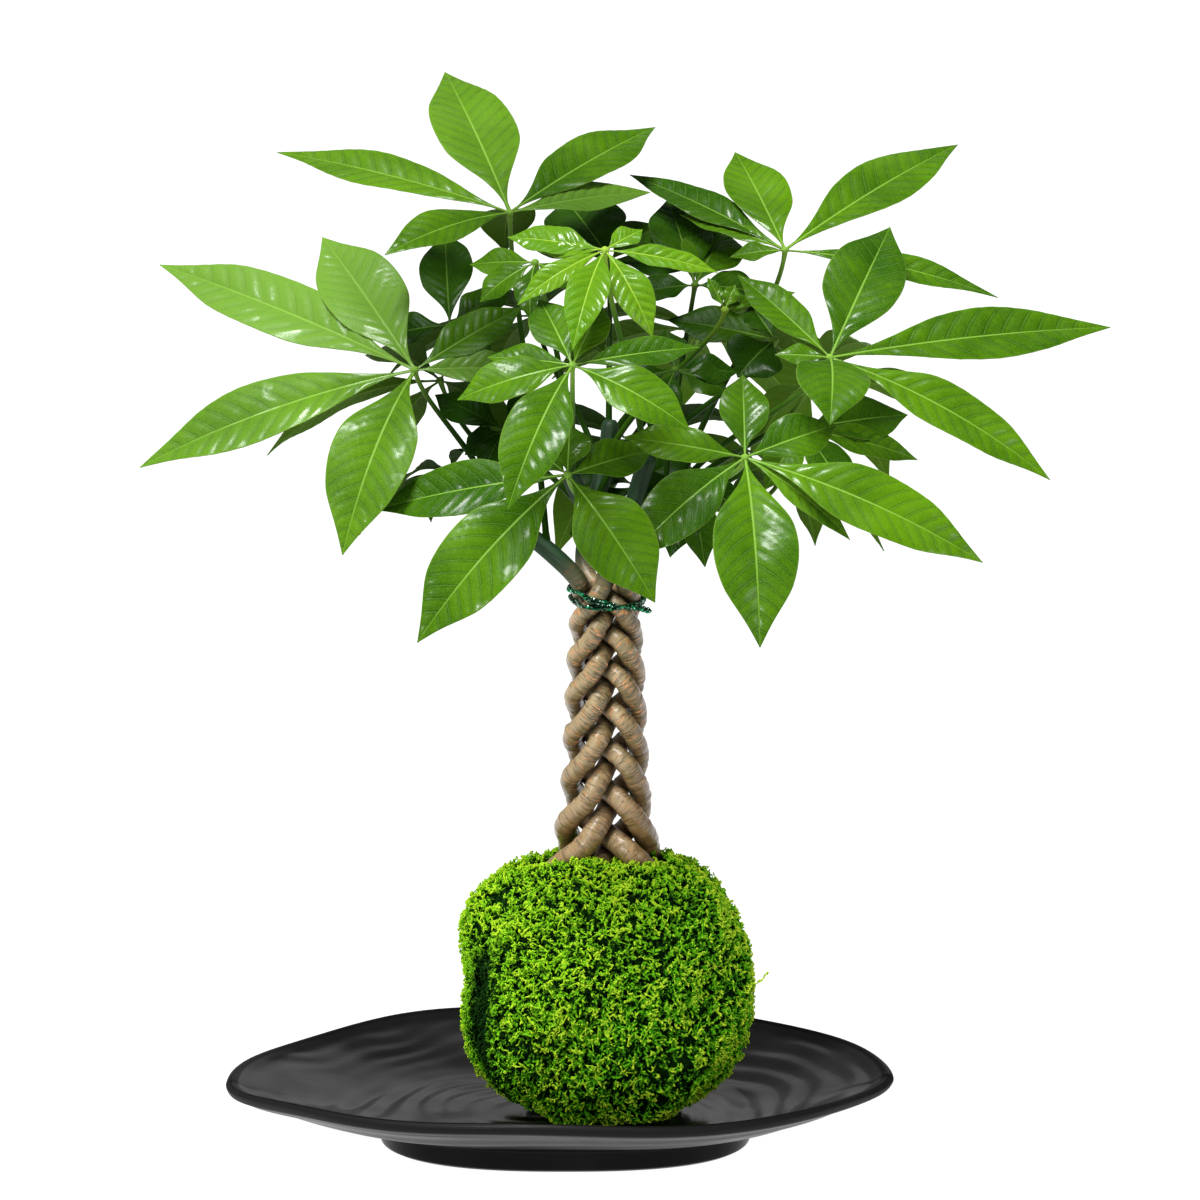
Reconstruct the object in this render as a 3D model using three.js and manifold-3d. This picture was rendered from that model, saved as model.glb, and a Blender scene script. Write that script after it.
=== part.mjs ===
// A braided money tree with its roots in a ball of moss, standing on a black footed dish.
// Millimetres, +Z up. The origin is the middle of the foot's underside. The front is at -Y.

import * as THREE from 'three';
import Module from 'manifold-3d';
import { mergeVertices } from 'three/addons/utils/BufferGeometryUtils.js';

const wasm = await Module();
wasm.setup();

// ---------------------------------------------------------------- driving dimensions

const GAP = 0.3; // left between pieces that touch
const UP = new THREE.Vector3(0, 0, 1);
const rad = THREE.MathUtils.degToRad;

// The crown's places are given as they are seen from the front: right and up from the
// middle of the view, and near, towards the eye.
const EYE = { distance: 5000, lift: rad(11), target: new THREE.Vector3(14, 0, 220) };

const DISH = {
  halfWidth: 134.6, frontDepth: 114, backDepth: 124, shift: -3.4,
  pointed: { left: { front: 1.5, back: 1.3 }, right: { front: 1.45, back: 1.1 } },
  foot: 75.5, footDepth: 0.86, footFullness: 2.5, footHeight: 9.4, floor: 12, floorRadius: 74,
  lip: 4.4, rimHeight: 25, rimWave: 3.2, frontLift: 3.6, sides: 34,
};
const RIM_RISE = { height: 3, angle: rad(32), width: rad(34) }; // where the rim rises on the right
const TRUNK = { x: 16.5, y: -14 };
const BALL = {
  x: 16, y: -14, z: 66, radius: 57.4, height: 53.6, mossThickness: 8, lumps: 0.02, sides: 24, rings: 9,
  fullness: 2.8, // 2 is a plain ball, more is fuller at its shoulders
};
const ROOT_BALL = { sides: 14, rings: 6 };
const CREASE = { angle: rad(209), width: 0.12, depth: 5 };
const MOSS_MOUTH = { halfWidth: 28.6, halfDepth: 21, sides: 14 };

// The braid: what one stem does in one full turn, as shares of the braid's half width and
// half depth. The front is negative. The five stems follow each other a fifth of a turn apart.
const STEMS = 5;
const ROUND_TRIP = [
  [0.94, 0.18], [0.8, -0.71], [0.41, -0.9], [-0.57, 0.89], [-0.84, 0.85],
  [-0.98, -0.4], [-0.55, -1.02], [-0.18, -0.93], [0.26, 0.88], [0.79, 0.66],
];
const BRAID = {
  foot: 84, tie: 228, topCrossing: 207.7, crossingStep: 14.55, stepGrowth: 0.45, leftTurn: 0.4,
};
const STEM_SIZE = [ // height, half width and half depth of the braid, stem radius
  [84, 25, 14.6, 5.9], [110, 20.8, 12, 5.2], [122, 17.8, 11, 4.9], [140, 14.8, 9.3, 4.3],
  [161, 13.8, 8.7, 4], [192, 12.8, 8.1, 3.8], [228, 10.2, 7.4, 3.7],
];
const STEM_TOPS = [
  { at: [2, -40, 279], lean: [-0.3, -0.6, 1] },
  { at: [47, -2, 266], lean: [1, 0.2, 0.9] },
  { at: [33, -32, 284], lean: [0.3, -0.4, 1] },
  { at: [18, 16, 290], lean: [0, 0.4, 1] },
  { at: [-28, -6, 258], lean: [-1, 0.1, 0.7] },
];
const STEM_TOP_RADIUS = 3.6;
const STEM_SIDES = 6;
const BRAID_STEPS = 20;

const WIRE = {
  radius: 0.9, clear: 1.6, height: 224.4, slope: 3.8, lowSide: rad(330), apart: 3.2, steps: 16, sides: 4,
};
const TWIST = { angle: rad(318), end: [9, -2.5, -2], bend: [0, -0.6, 0.4], radii: [1.2, 1.5, 1] };

// A leaflet that hangs towards the front arches more than one that points aside or up.
const BLADE = {
  thickness: 0.8, fold: rad(8), arch: 0.12, sideArch: 0.025, droop: 0.15, ruffle: 0.7,
};
const BLADE_STEPS = {
  3: [0, 0.3, 0.68, 1],
  4: [0, 0.2, 0.5, 0.8, 1],
  5: [0, 0.17, 0.38, 0.62, 0.85, 1],
};
const BROAD = { middle: 16.5, large: 26 }; // leaflets wider than these take more steps
const PETIOLE = { base: 1.7, tip: 1.1, sides: 5, steps: 4, hubRadius: 2.1 };

// Every compound leaf: the stem it grows on and how far up that stem's top, its hub, the way
// its upper side faces (side: to the right, lift: upwards, in degrees), and its leaflets, each
// as right, up and full width, then, where it isn't the usual, its rise over the leaf's plane.
const LEAVES = [
  {
    name: 'leaf_top_left', stem: 5, from: 0.55, hub: [-36, 155, 10], side: 0, lift: 52,
    leaflets: [
      [-62, 211, 34], [-129, 179, 23], [22, 189, 28],
      [20, 163, 20], [-86, 138, 22, 6], [-38, 139, 24, -44],
    ],
  },
  {
    name: 'leaf_left', stem: 5, from: 0.95, hub: [-74, 92, 50], side: -7, lift: 37,
    leaflets: [
      [-176, 134, 29], [-184, 53, 29], [-103, 18, 34],
      [-111, 145, 33], [-31, 117, 20], [-29, 92, 17],
    ],
  },
  {
    name: 'leaf_young_front', young: true, stem: 3, from: 0.95, hub: [2, 140, 95], side: 0, lift: 42,
    leaflets: [
      [-37, 145, 16], [-33, 118, 12], [-11, 100, 17, 2], [21, 105, 16, -12],
      [47, 131, 12], [17, 148, 11], [-24, 139, 9],
    ],
  },
  {
    name: 'leaf_front', stem: 1, from: 0.95, hub: [-11, 94, 128], side: 0, lift: 38,
    leaflets: [
      [-37, 36, 26], [36, 68, 23], [40, 101, 15], [-57, 80, 21],
      [-45, 97, 14], [-24, 120, 20], [1, 118, 16],
    ],
  },
  {
    name: 'leaf_low_front', stem: 1, from: 0.45, hub: [-13, 50, 98], side: -5, lift: 28,
    leaflets: [
      [-73, -17, 34], [22, -1, 31], [-90, 36, 24, -20],
      [21, 60, 19, -18], [-12, 70, 18], [-28, 62, 14],
    ],
  },
  {
    name: 'leaf_low_right', stem: 3, from: 0.5, hub: [58, 57, 90], side: 5, lift: 33,
    leaflets: [
      [64, -19, 34], [153, 15, 29], [11, 16, 26], [9, 65, 18, 2],
      [57, 90, 20], [95, 70, 21], [100, 24, 12, -14],
    ],
  },
  {
    name: 'leaf_right', stem: 2, from: 0.85, hub: [92, 97, 50], side: 10, lift: 38,
    leaflets: [
      [204, 109, 26], [180, 48, 24], [116, 149, 32],
      [55, 130, 18], [70, 98, 10], [92, 70, 30, 18],
    ],
  },
  {
    name: 'leaf_top_right', stem: 2, from: 0.95, hub: [74, 140, 0], side: 5, lift: 50,
    leaflets: [
      [143, 182, 27], [54, 179, 26], [12, 170, 18],
      [32, 154, 12], [52, 137, 11], [159, 121, 16],
    ],
  },
  {
    name: 'leaf_behind_top', stem: 4, from: 0.9, hub: [4, 136, -20], side: 0, lift: 50,
    leaflets: [[-14, 160, 34], [24, 150, 24], [-32, 146, 22], [34, 132, 18]],
  },
  {
    name: 'leaf_behind_right_top', stem: 2, from: 0.75, hub: [38, 126, -2], side: 10, lift: 48,
    leaflets: [[27, 160, 26], [50, 148, 26], [66, 122, 20], [14, 122, 16]],
  },
  {
    name: 'leaf_behind_left', stem: 5, from: 0.8, hub: [-60, 110, 10], side: -12, lift: 45,
    leaflets: [[-62, 147, 22], [-36, 124, 18], [-90, 104, 18], [-44, 92, 14]],
  },
  {
    name: 'leaf_behind_young', stem: 1, from: 0.8, hub: [-26, 135, 60], side: -15, lift: 42,
    leaflets: [[-48, 119, 15], [-52, 134, 14], [-28, 112, 13], [-8, 124, 14]],
  },
  {
    name: 'leaf_shoot', young: true, stem: 4, from: 0.8, hub: [50, 116, 25], side: 10, lift: 40,
    leaflets: [[43, 129, 6, 4], [54, 126, 7, 4], [61, 121, 7], [78, 123, 9]],
  },
  {
    name: 'leaf_inner_right', stem: 3, from: 0.9, hub: [70, 104, 8], side: 10, lift: 40,
    leaflets: [[55, 89, 26], [27, 112, 20], [60, 118, 16]],
  },
  {
    name: 'leaf_far_right', stem: 2, from: 0.4, hub: [80, 68, 36], side: 20, lift: 35,
    leaflets: [[123, 74, 22], [127, 56, 15], [98, 40, 20], [66, 44, 16]],
  },
  {
    name: 'leaf_low_middle', stem: 3, from: 0.25, hub: [36, 48, 30], side: 0, lift: 30,
    leaflets: [[28, 17, 18], [42, 13, 15], [9, 38, 16], [58, 34, 14]],
  },
  {
    name: 'leaf_low_left', stem: 1, from: 0.5, hub: [-38, 68, 30], side: -20, lift: 35,
    leaflets: [[-54, 58, 14], [-66, 82, 16], [-46, 50, 13], [-24, 84, 14]],
  },
  {
    name: 'leaf_middle', stem: 1, from: 0.65, hub: [30, 92, 40], side: 10, lift: 38,
    leaflets: [[55, 91, 15], [51, 83, 17], [20, 66, 16], [2, 84, 14], [26, 108, 14]],
  },
  {
    name: 'leaf_inner_low', stem: 4, from: 0.2, hub: [14, 46, -8], side: 0, lift: 32,
    leaflets: [[-16, 56, 18], [-12, 26, 18], [8, 14, 18], [34, 26, 18], [38, 60, 16]],
  },
];

// The leaves at the back, whose leaflets spread evenly: hub, facing, length of the longest
// leaflet, how many there are, and which way the longest points (0 is right, 90 is up).
const BACK_LEAVES = [
  {
    name: 'leaf_back_left', stem: 5, from: 0.65, hub: [-64, 88, -50],
    side: -150, lift: 58, reach: 76, count: 5, points: 180,
  },
  {
    name: 'leaf_back_right', stem: 2, from: 0.6, hub: [84, 88, -58],
    side: 155, lift: 58, reach: 74, count: 5, points: 12,
  },
  {
    name: 'leaf_back_low', stem: 4, from: 0.4, hub: [12, 64, -66],
    side: 180, lift: 58, reach: 80, count: 6, points: -90,
  },
  {
    name: 'leaf_back_high', stem: 4, from: 0.85, hub: [40, 108, -84],
    side: 165, lift: 66, reach: 84, count: 6, points: -90,
  },
  {
    name: 'leaf_back_low_left', stem: 5, from: 0.3, hub: [-60, 52, -18],
    side: -125, lift: 62, reach: 44, count: 5, points: 220,
  },
  {
    name: 'leaf_back_low_right', stem: 2, from: 0.3, hub: [72, 48, -10],
    side: 125, lift: 60, reach: 50, count: 5, points: -5,
  },
  {
    name: 'leaf_back_top', stem: 4, from: 0.7, hub: [-26, 114, -68],
    side: -150, lift: 68, reach: 64, count: 5, points: 200,
  },
];

const COLOURS = {
  glaze: { color: 0x141516, roughness: 0.35, metalness: 0 },
  moss: { color: 0x6fae12, roughness: 0.95, metalness: 0 },
  soil: { color: 0x2c2119, roughness: 1, metalness: 0 },
  bark: { color: 0x7a6544, roughness: 0.6, metalness: 0 },
  foil: { color: 0x0d5c38, roughness: 0.3, metalness: 0.8 },
  leaf: { color: 0x2f7d1e, roughness: 0.35, metalness: 0 },
  youngLeaf: { color: 0x7dbb1c, roughness: 0.3, metalness: 0 },
};

// ---------------------------------------------------------------- small helpers

const vec = ([x, y, z]) => new THREE.Vector3(x, y, z);

// A place in the part, from where it is seen: right, up and near, in mm.
function seen(right, up, near) {
  const shrink = 1 - near / EYE.distance;
  return new THREE.Vector3(
    EYE.target.x + right * shrink,
    EYE.target.y + up * shrink * Math.sin(EYE.lift) - near * Math.cos(EYE.lift),
    EYE.target.z + up * shrink * Math.cos(EYE.lift) + near * Math.sin(EYE.lift),
  );
}

// The direction in the part of a direction as it is seen.
function facing(right, up, near) {
  return seen(right, up, near).sub(seen(0, 0, 0)).normalize();
}

function geometryFrom(points, triangles) {
  const geometry = new THREE.BufferGeometry();
  const numbers = points.flatMap((point) => point.toArray());
  geometry.setAttribute('position', new THREE.Float32BufferAttribute(numbers, 3));
  geometry.setIndex(triangles);
  return geometry;
}

function toSolid(geometry) {
  const bare = geometry.clone();
  bare.deleteAttribute('normal');
  bare.deleteAttribute('uv');
  const merged = mergeVertices(bare, 1e-4);
  return new wasm.Manifold(new wasm.Mesh({
    numProp: 3,
    vertProperties: merged.attributes.position.array,
    triVerts: new Uint32Array(merged.index.array),
  }));
}

// The largest body of a solid: cutting can leave loose scraps.
function toGeometry(solid) {
  const bodies = solid.decompose();
  const largest = bodies.reduce((a, b) => (b.volume() > a.volume() ? b : a));
  const mesh = largest.getMesh();
  const geometry = new THREE.BufferGeometry();
  geometry.setAttribute('position', new THREE.BufferAttribute(mesh.vertProperties, 3));
  geometry.setIndex(new THREE.BufferAttribute(mesh.triVerts, 1));
  return geometry;
}

function finish(name, geometry, look) {
  geometry.computeVertexNormals();
  const mesh = new THREE.Mesh(geometry, new THREE.MeshStandardMaterial(look));
  mesh.name = name;
  return mesh;
}

// A closed skin over a stack of rings that all have the same number of points, turning
// anticlockwise about the way from the first ring to the last.
function skin(rings) {
  const sides = rings[0].length;
  const points = rings.flat();
  const triangles = [];
  for (let i = 0; i < rings.length - 1; i += 1) {
    for (let j = 0; j < sides; j += 1) {
      const a = i * sides + j;
      const b = i * sides + ((j + 1) % sides);
      triangles.push(a, b, b + sides, a, b + sides, a + sides);
    }
  }
  const middle = (ring) => ring
    .reduce((sum, point) => sum.add(point), new THREE.Vector3())
    .divideScalar(sides);
  const first = points.push(middle(rings[0])) - 1;
  const last = points.push(middle(rings[rings.length - 1])) - 1;
  const top = (rings.length - 1) * sides;
  for (let j = 0; j < sides; j += 1) {
    const next = (j + 1) % sides;
    triangles.push(first, next, j, last, top + j, top + next);
  }
  return geometryFrom(points, triangles);
}

// A round bar along a list of points, with a radius at each.
function bar(points, radii, sides) {
  const rings = [];
  let across = null;
  points.forEach((point, i) => {
    const before = points[Math.max(i - 1, 0)];
    const after = points[Math.min(i + 1, points.length - 1)];
    const along = after.clone().sub(before).normalize();
    if (!across) across = new THREE.Vector3(1, 0, 0.01).cross(along).cross(along).negate();
    across = across.sub(along.clone().multiplyScalar(across.dot(along))).normalize();
    const other = along.clone().cross(across);
    rings.push(Array.from({ length: sides }, (_, j) => {
      const turn = (2 * Math.PI * j) / sides;
      return point.clone()
        .addScaledVector(across, radii[i] * Math.cos(turn))
        .addScaledVector(other, radii[i] * Math.sin(turn));
    }));
  });
  return skin(rings);
}

// A value read off rows of [key, value, ...], straight between them.
function readOff(rows, key, column) {
  const i = rows.findIndex((row) => row[0] > key);
  if (i === 0) return rows[0][column];
  if (i < 0) return rows[rows.length - 1][column];
  const share = (key - rows[i - 1][0]) / (rows[i][0] - rows[i - 1][0]);
  return THREE.MathUtils.lerp(rows[i - 1][column], rows[i][column], share);
}

// ---------------------------------------------------------------- the dish

// How far out a direction leads, as a share: 1 for a plain round, more at the shoulders of a
// fuller one.
function fullness(across, up, power) {
  return (Math.abs(across) ** power + Math.abs(up) ** power) ** (-1 / power);
}

// Where the dish is at a radius and a turn round it. The foot and the floor are a full oval.
// The rim is a hand-formed one, a little to the left of them and drawn out to a blunt point
// at each end. The share says how much of the rim's shape is taken.
function dishPlace(radius, angle, share) {
  const hand = 1 + 0.006 * Math.sin(5 * angle + 0.8) + 0.005 * Math.sin(9 * angle + 2);
  const across = Math.sin(angle);
  const side = Math.cos(angle) < 0 ? DISH.pointed.left : DISH.pointed.right;
  const power = across < 0 ? side.front : side.back;
  const x = radius * hand * Math.cos(angle) + DISH.shift;
  const half = across < 0 ? DISH.frontDepth : DISH.backDepth;
  const depth = radius * hand * (half / DISH.halfWidth);
  const y = depth * Math.sign(across) * Math.abs(across) ** power;
  const reach = radius * fullness(Math.cos(angle), across, DISH.footFullness);
  const foot = new THREE.Vector2(reach * Math.cos(angle), DISH.footDepth * reach * across);
  return foot.lerp(new THREE.Vector2(x, y), share);
}

function rimLift(angle) {
  const slow = -0.5 * Math.cos(2 * angle) + 0.25 * Math.sin(3 * angle + 1);
  const front = DISH.frontLift * Math.max(0, -Math.sin(angle)) ** 3;
  const away = Math.atan2(Math.sin(angle - RIM_RISE.angle), Math.cos(angle - RIM_RISE.angle));
  const rise = RIM_RISE.height * Math.exp(-((away / RIM_RISE.width) ** 2));
  return DISH.rimWave * (slow + 0.2 * Math.sin(7 * angle)) + front + rise;
}

// The dish's section from the middle of the underside, round the rim, to the middle of the
// floor: radius, height, and how much of the oval and of the rim's wave it takes.
function dishSection() {
  const { foot, footHeight, halfWidth, rimHeight, floor, floorRadius, lip } = DISH;
  return [
    [foot - 3, 0, 0],
    [foot - 1, 1.2, 0],
    [foot, footHeight - 1.2, 0],
    [foot + 3, footHeight, 0.1],
    [foot + 28, footHeight + 3.6, 0.5],
    [halfWidth - 12, rimHeight - 7.6, 0.88],
    [halfWidth - 1.4, rimHeight - lip, 1],
    [halfWidth, rimHeight - 0.4 * lip, 1],
    [halfWidth - 2.4, rimHeight, 1],
    [halfWidth - 9, rimHeight - 2.6, 0.9],
    [foot + 27.5, floor + 5.4, 0.5],
    [floorRadius + 8, floor + 1.1, 0.1],
    [floorRadius, floor, 0],
  ];
}

function dish() {
  const rings = dishSection().map(([radius, height, share]) => (
    Array.from({ length: DISH.sides }, (_, j) => {
      const angle = (2 * Math.PI * j) / DISH.sides;
      const place = dishPlace(radius, angle, share);
      return new THREE.Vector3(place.x, place.y, height + share * rimLift(angle));
    })
  ));
  return finish('dish', skin(rings), COLOURS.glaze);
}

// ---------------------------------------------------------------- the ball of moss

// A ball, flattened where it stands. The moss's outside swells in lumps, and a crease runs
// down its left front.
function ballSkin({ radius, height, low, sides, rings, lumpy }) {
  const stack = Array.from({ length: rings }, (_, i) => {
    const down = Math.PI * (1 - (i + 0.45) / (rings - 0.1));
    return Array.from({ length: sides }, (_, j) => {
      const angle = (2 * Math.PI * j) / sides;
      const large = Math.sin(3 * angle + 5 * down) + Math.sin(5 * angle - 3 * down + 1);
      const small = 0.7 * Math.sin(8 * angle + 7 * down);
      const swell = lumpy ? 1 + BALL.lumps * (large + small) : 1;
      const away = Math.atan2(Math.sin(angle - CREASE.angle), Math.cos(angle - CREASE.angle));
      const fold = CREASE.depth * Math.exp(-((away / CREASE.width) ** 2)) * Math.sin(down) ** 4;
      const crease = lumpy ? fold : 0;
      const full = fullness(Math.sin(down), Math.cos(down), BALL.fullness);
      const reach = (radius * swell * full - crease) * Math.sin(down);
      return new THREE.Vector3(
        BALL.x + reach * Math.cos(angle),
        BALL.y + reach * Math.sin(angle),
        Math.max(low, BALL.z + height * swell * full * Math.cos(down)),
      );
    });
  });
  return toSolid(skin(stack));
}

// The hole in the moss that the stems come out of.
function mouth(bottom, top) {
  const ring = (z) => Array.from({ length: MOSS_MOUTH.sides }, (_, j) => {
    const angle = (2 * Math.PI * j) / MOSS_MOUTH.sides;
    return new THREE.Vector3(
      TRUNK.x + MOSS_MOUTH.halfWidth * Math.cos(angle),
      TRUNK.y + MOSS_MOUTH.halfDepth * Math.sin(angle),
      z,
    );
  });
  return toSolid(skin([ring(bottom), ring(top)]));
}

// The ball inside the moss, smaller than the moss's hollow by a margin.
function innerBall(margin) {
  return ballSkin({
    radius: BALL.radius - BALL.mossThickness - margin,
    height: BALL.height - BALL.mossThickness - margin,
    low: DISH.floor + BALL.mossThickness + margin,
    sides: ROOT_BALL.sides,
    rings: ROOT_BALL.rings,
    lumpy: false,
  });
}

function mossCover() {
  const { radius, height, sides, rings, z } = BALL;
  const outside = ballSkin({ radius, height, low: DISH.floor + GAP, sides, rings, lumpy: true });
  const opening = mouth(z + 20, z + height + 20);
  const cover = outside.subtract(innerBall(0)).subtract(opening);
  return finish('moss_cover', toGeometry(cover), COLOURS.moss);
}

function rootBall(stemHoles) {
  return finish('root_ball', toGeometry(innerBall(2 * GAP).subtract(stemHoles)), COLOURS.soil);
}

// ---------------------------------------------------------------- the braided stems

// Where in its round trip stem number k is at a height: the crossings lie closer together
// towards the top.
function turnAt(k, height) {
  const { topCrossing, crossingStep, stepGrowth, leftTurn } = BRAID;
  const below = topCrossing - height;
  const root = Math.sqrt(crossingStep ** 2 + 4 * stepGrowth * below);
  const crossings = (root - crossingStep) / (2 * stepGrowth);
  return leftTurn + (k - crossings) / STEMS;
}

// A smooth closed curve through the round trip's points.
function roundTrip(turn) {
  const count = ROUND_TRIP.length;
  const place = (((turn % 1) + 1) % 1) * count;
  const i = Math.floor(place);
  const f = place - i;
  const at = (n, c) => ROUND_TRIP[(i + n + count) % count][c];
  const curve = (c) => 0.5 * (2 * at(0, c) + (at(1, c) - at(-1, c)) * f
    + (2 * at(-1, c) - 5 * at(0, c) + 4 * at(1, c) - at(2, c)) * f * f
    + (3 * at(0, c) - at(-1, c) - 3 * at(1, c) + at(2, c)) * f ** 3);
  return [curve(0), curve(1)];
}

function braidPoint(k, height) {
  const [x, y] = roundTrip(turnAt(k, height));
  return new THREE.Vector3(
    TRUNK.x + x * readOff(STEM_SIZE, height, 1),
    TRUNK.y + y * readOff(STEM_SIZE, height, 2),
    height,
  );
}

function topCurve(k) {
  const start = braidPoint(k, BRAID.tie);
  const climb = start.clone().sub(braidPoint(k, BRAID.tie - 2)).normalize();
  const end = vec(STEM_TOPS[k].at);
  const lean = vec(STEM_TOPS[k].lean).normalize();
  const length = start.distanceTo(end);
  return new THREE.CubicBezierCurve3(
    start,
    start.clone().addScaledVector(climb, length * 0.3),
    end.clone().addScaledVector(lean, -length * 0.4),
    end,
  );
}

// Stem number k's line and its radius along it, from the soil to the blunt top.
function stemLine(k) {
  const points = [];
  const radii = [];
  for (let i = 0; i <= BRAID_STEPS; i += 1) {
    const height = THREE.MathUtils.lerp(BRAID.foot, BRAID.tie, i / BRAID_STEPS);
    points.push(braidPoint(k, height));
    radii.push(readOff(STEM_SIZE, height, 3));
  }
  const top = topCurve(k);
  for (const share of [0.25, 0.5, 0.75, 0.97, 1]) {
    const blunt = share === 1 ? 0.7 : 1;
    points.push(top.getPoint(share));
    radii.push(blunt * THREE.MathUtils.lerp(radii[BRAID_STEPS], STEM_TOP_RADIUS, share));
  }
  return { points, radii };
}

// A stem, or the space round it: larger by a margin on every side and at both ends.
function stemSolid(k, margin) {
  const { points, radii } = stemLine(k);
  const last = points.length - 1;
  const beyond = (end, next) => end.clone().addScaledVector(end.clone().sub(next).normalize(), margin);
  const first = beyond(points[0], points[1]);
  const end = beyond(points[last], points[last - 1]);
  const line = [first, ...points.slice(1, -1), end];
  return toSolid(bar(line, radii.map((radius) => radius + margin), STEM_SIDES));
}

// The stems press flat against each other: each is cut back from those before it.
function stems() {
  return Array.from({ length: STEMS }, (_, k) => {
    let solid = stemSolid(k, 0);
    for (let before = 0; before < k; before += 1) solid = solid.subtract(stemSolid(before, GAP));
    return finish(`stem_${k + 1}`, toGeometry(solid), COLOURS.bark);
  });
}

// ---------------------------------------------------------------- the wire tie

// How far out the stems reach from the trunk's axis in a direction, at a height.
function stemsReach(angle, height) {
  const direction = new THREE.Vector2(Math.cos(angle), Math.sin(angle));
  const reaches = Array.from({ length: STEMS }, (_, k) => {
    const centre = braidPoint(k, height);
    const offset = new THREE.Vector2(centre.x - TRUNK.x, centre.y - TRUNK.y);
    return offset.dot(direction) + readOff(STEM_SIZE, height, 3);
  });
  return Math.max(...reaches);
}

function aroundTrunk(angle, reach, z) {
  return new THREE.Vector3(TRUNK.x + reach * Math.cos(angle), TRUNK.y + reach * Math.sin(angle), z);
}

// One turn of wire round the braid, lower on the right front where the turns are twisted.
function wireTurn(height, slope) {
  const points = Array.from({ length: WIRE.steps }, (_, i) => {
    const angle = (2 * Math.PI * i) / WIRE.steps;
    const z = height - slope * Math.cos(angle - WIRE.lowSide);
    const reach = stemsReach(angle, z) + WIRE.clear + WIRE.radius;
    return aroundTrunk(angle, reach, z);
  });
  const sides = WIRE.sides;
  const rings = points.map((point, i) => {
    const before = points[(i + WIRE.steps - 1) % WIRE.steps];
    const after = points[(i + 1) % WIRE.steps];
    const along = after.clone().sub(before).normalize();
    const outward = along.clone().cross(UP).normalize();
    const other = along.clone().cross(outward);
    return Array.from({ length: sides }, (_, j) => {
      const turn = (2 * Math.PI * j) / sides;
      return point.clone()
        .addScaledVector(outward, WIRE.radius * Math.cos(turn))
        .addScaledVector(other, WIRE.radius * Math.sin(turn));
    });
  });
  const triangles = [];
  for (let i = 0; i < WIRE.steps; i += 1) {
    for (let j = 0; j < sides; j += 1) {
      const a = i * sides + j;
      const b = i * sides + ((j + 1) % sides);
      const c = ((i + 1) % WIRE.steps) * sides + ((j + 1) % sides);
      const d = ((i + 1) % WIRE.steps) * sides + j;
      triangles.push(a, b, c, a, c, d);
    }
  }
  return toSolid(geometryFrom(rings.flat(), triangles));
}

// Two turns, the upper one aslant, and the twisted end that joins them.
function tieWire() {
  const { height, slope, radius, apart } = WIRE;
  const z = height - 0.6 * slope;
  const start = aroundTrunk(TWIST.angle, stemsReach(TWIST.angle, z) + GAP + radius, z);
  const end = start.clone().add(vec(TWIST.end));
  const middle = start.clone().lerp(end, 0.5).add(vec(TWIST.bend));
  const twist = toSolid(bar([start, middle, end], TWIST.radii, WIRE.sides));
  const whole = twist.add(wireTurn(height + 1, slope)).add(wireTurn(height + 1 - apart, 0.4));
  return finish('tie_wire', toGeometry(whole), COLOURS.foil);
}

// ---------------------------------------------------------------- the leaves

// Half a leaflet's width along it, as a share: a narrow foot, widest in the middle, drawn
// out to a point.
function outline(t) {
  const full = Math.sin(Math.PI * t ** 1.12) ** 0.9;
  const foot = THREE.MathUtils.lerp(0.3, 1, THREE.MathUtils.smoothstep(t, 0, 0.42));
  const point = 1 - 0.3 * THREE.MathUtils.smoothstep(t, 0.72, 0.98);
  return Math.max(full * foot * point, 0.05);
}

// One leaflet: a thin arched blade with waved edges. A wide one is folded up a little along
// its midrib.
function blade({ base, tip, upper, broad, arch, phase }) {
  const steps = 3 + (broad > BROAD.middle) + (broad > BROAD.large);
  const columns = broad > BROAD.middle ? [-1, 0, 1] : [-1, 1];
  const chord = tip.clone().sub(base);
  const length = chord.length();
  const side = upper.clone().cross(chord).normalize();
  const over = chord.clone().cross(side).normalize();
  const middle = base.clone().lerp(tip, 0.5).addScaledVector(over, 2 * arch * length);
  const spine = new THREE.QuadraticBezierCurve3(base, middle, tip);
  const points = BLADE_STEPS[steps].flatMap((t) => {
    const centre = spine.getPoint(t);
    const normal = spine.getTangent(t).cross(side).normalize();
    const half = 0.5 * broad * outline(t);
    const wave = BLADE.ruffle * Math.sin(2 * Math.PI * (2.2 * t + phase)) * Math.sin(Math.PI * t);
    return [0.5, -0.5].flatMap((face) => columns.map((way) => centre.clone()
      .addScaledVector(side, way * half * Math.cos(BLADE.fold))
      .addScaledVector(normal, Math.abs(way) * half * Math.sin(BLADE.fold) + way * wave)
      .addScaledVector(normal, face * BLADE.thickness)));
  });
  const triangles = [];
  const quad = (a, b, c, d) => triangles.push(a, c, b, a, d, c);
  const count = columns.length;
  const ring = 2 * count;
  for (let a = 0; a < steps * ring; a += ring) {
    const b = a + ring;
    for (let j = 0; j < count - 1; j += 1) {
      quad(a + j, a + j + 1, b + j + 1, b + j);
      const under = a + j + count;
      triangles.push(under, under + 1, under + ring + 1, under, under + ring + 1, under + ring);
    }
    quad(a + count, a, b, b + count);
    quad(a + count - 1, a + ring - 1, b + ring - 1, b + count - 1);
  }
  const last = steps * ring;
  for (let j = 0; j < count - 1; j += 1) {
    quad(j, j + count, j + count + 1, j + 1);
    quad(last + j, last + j + 1, last + j + count + 1, last + j + count);
  }
  return toSolid(geometryFrom(points, triangles));
}

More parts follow.
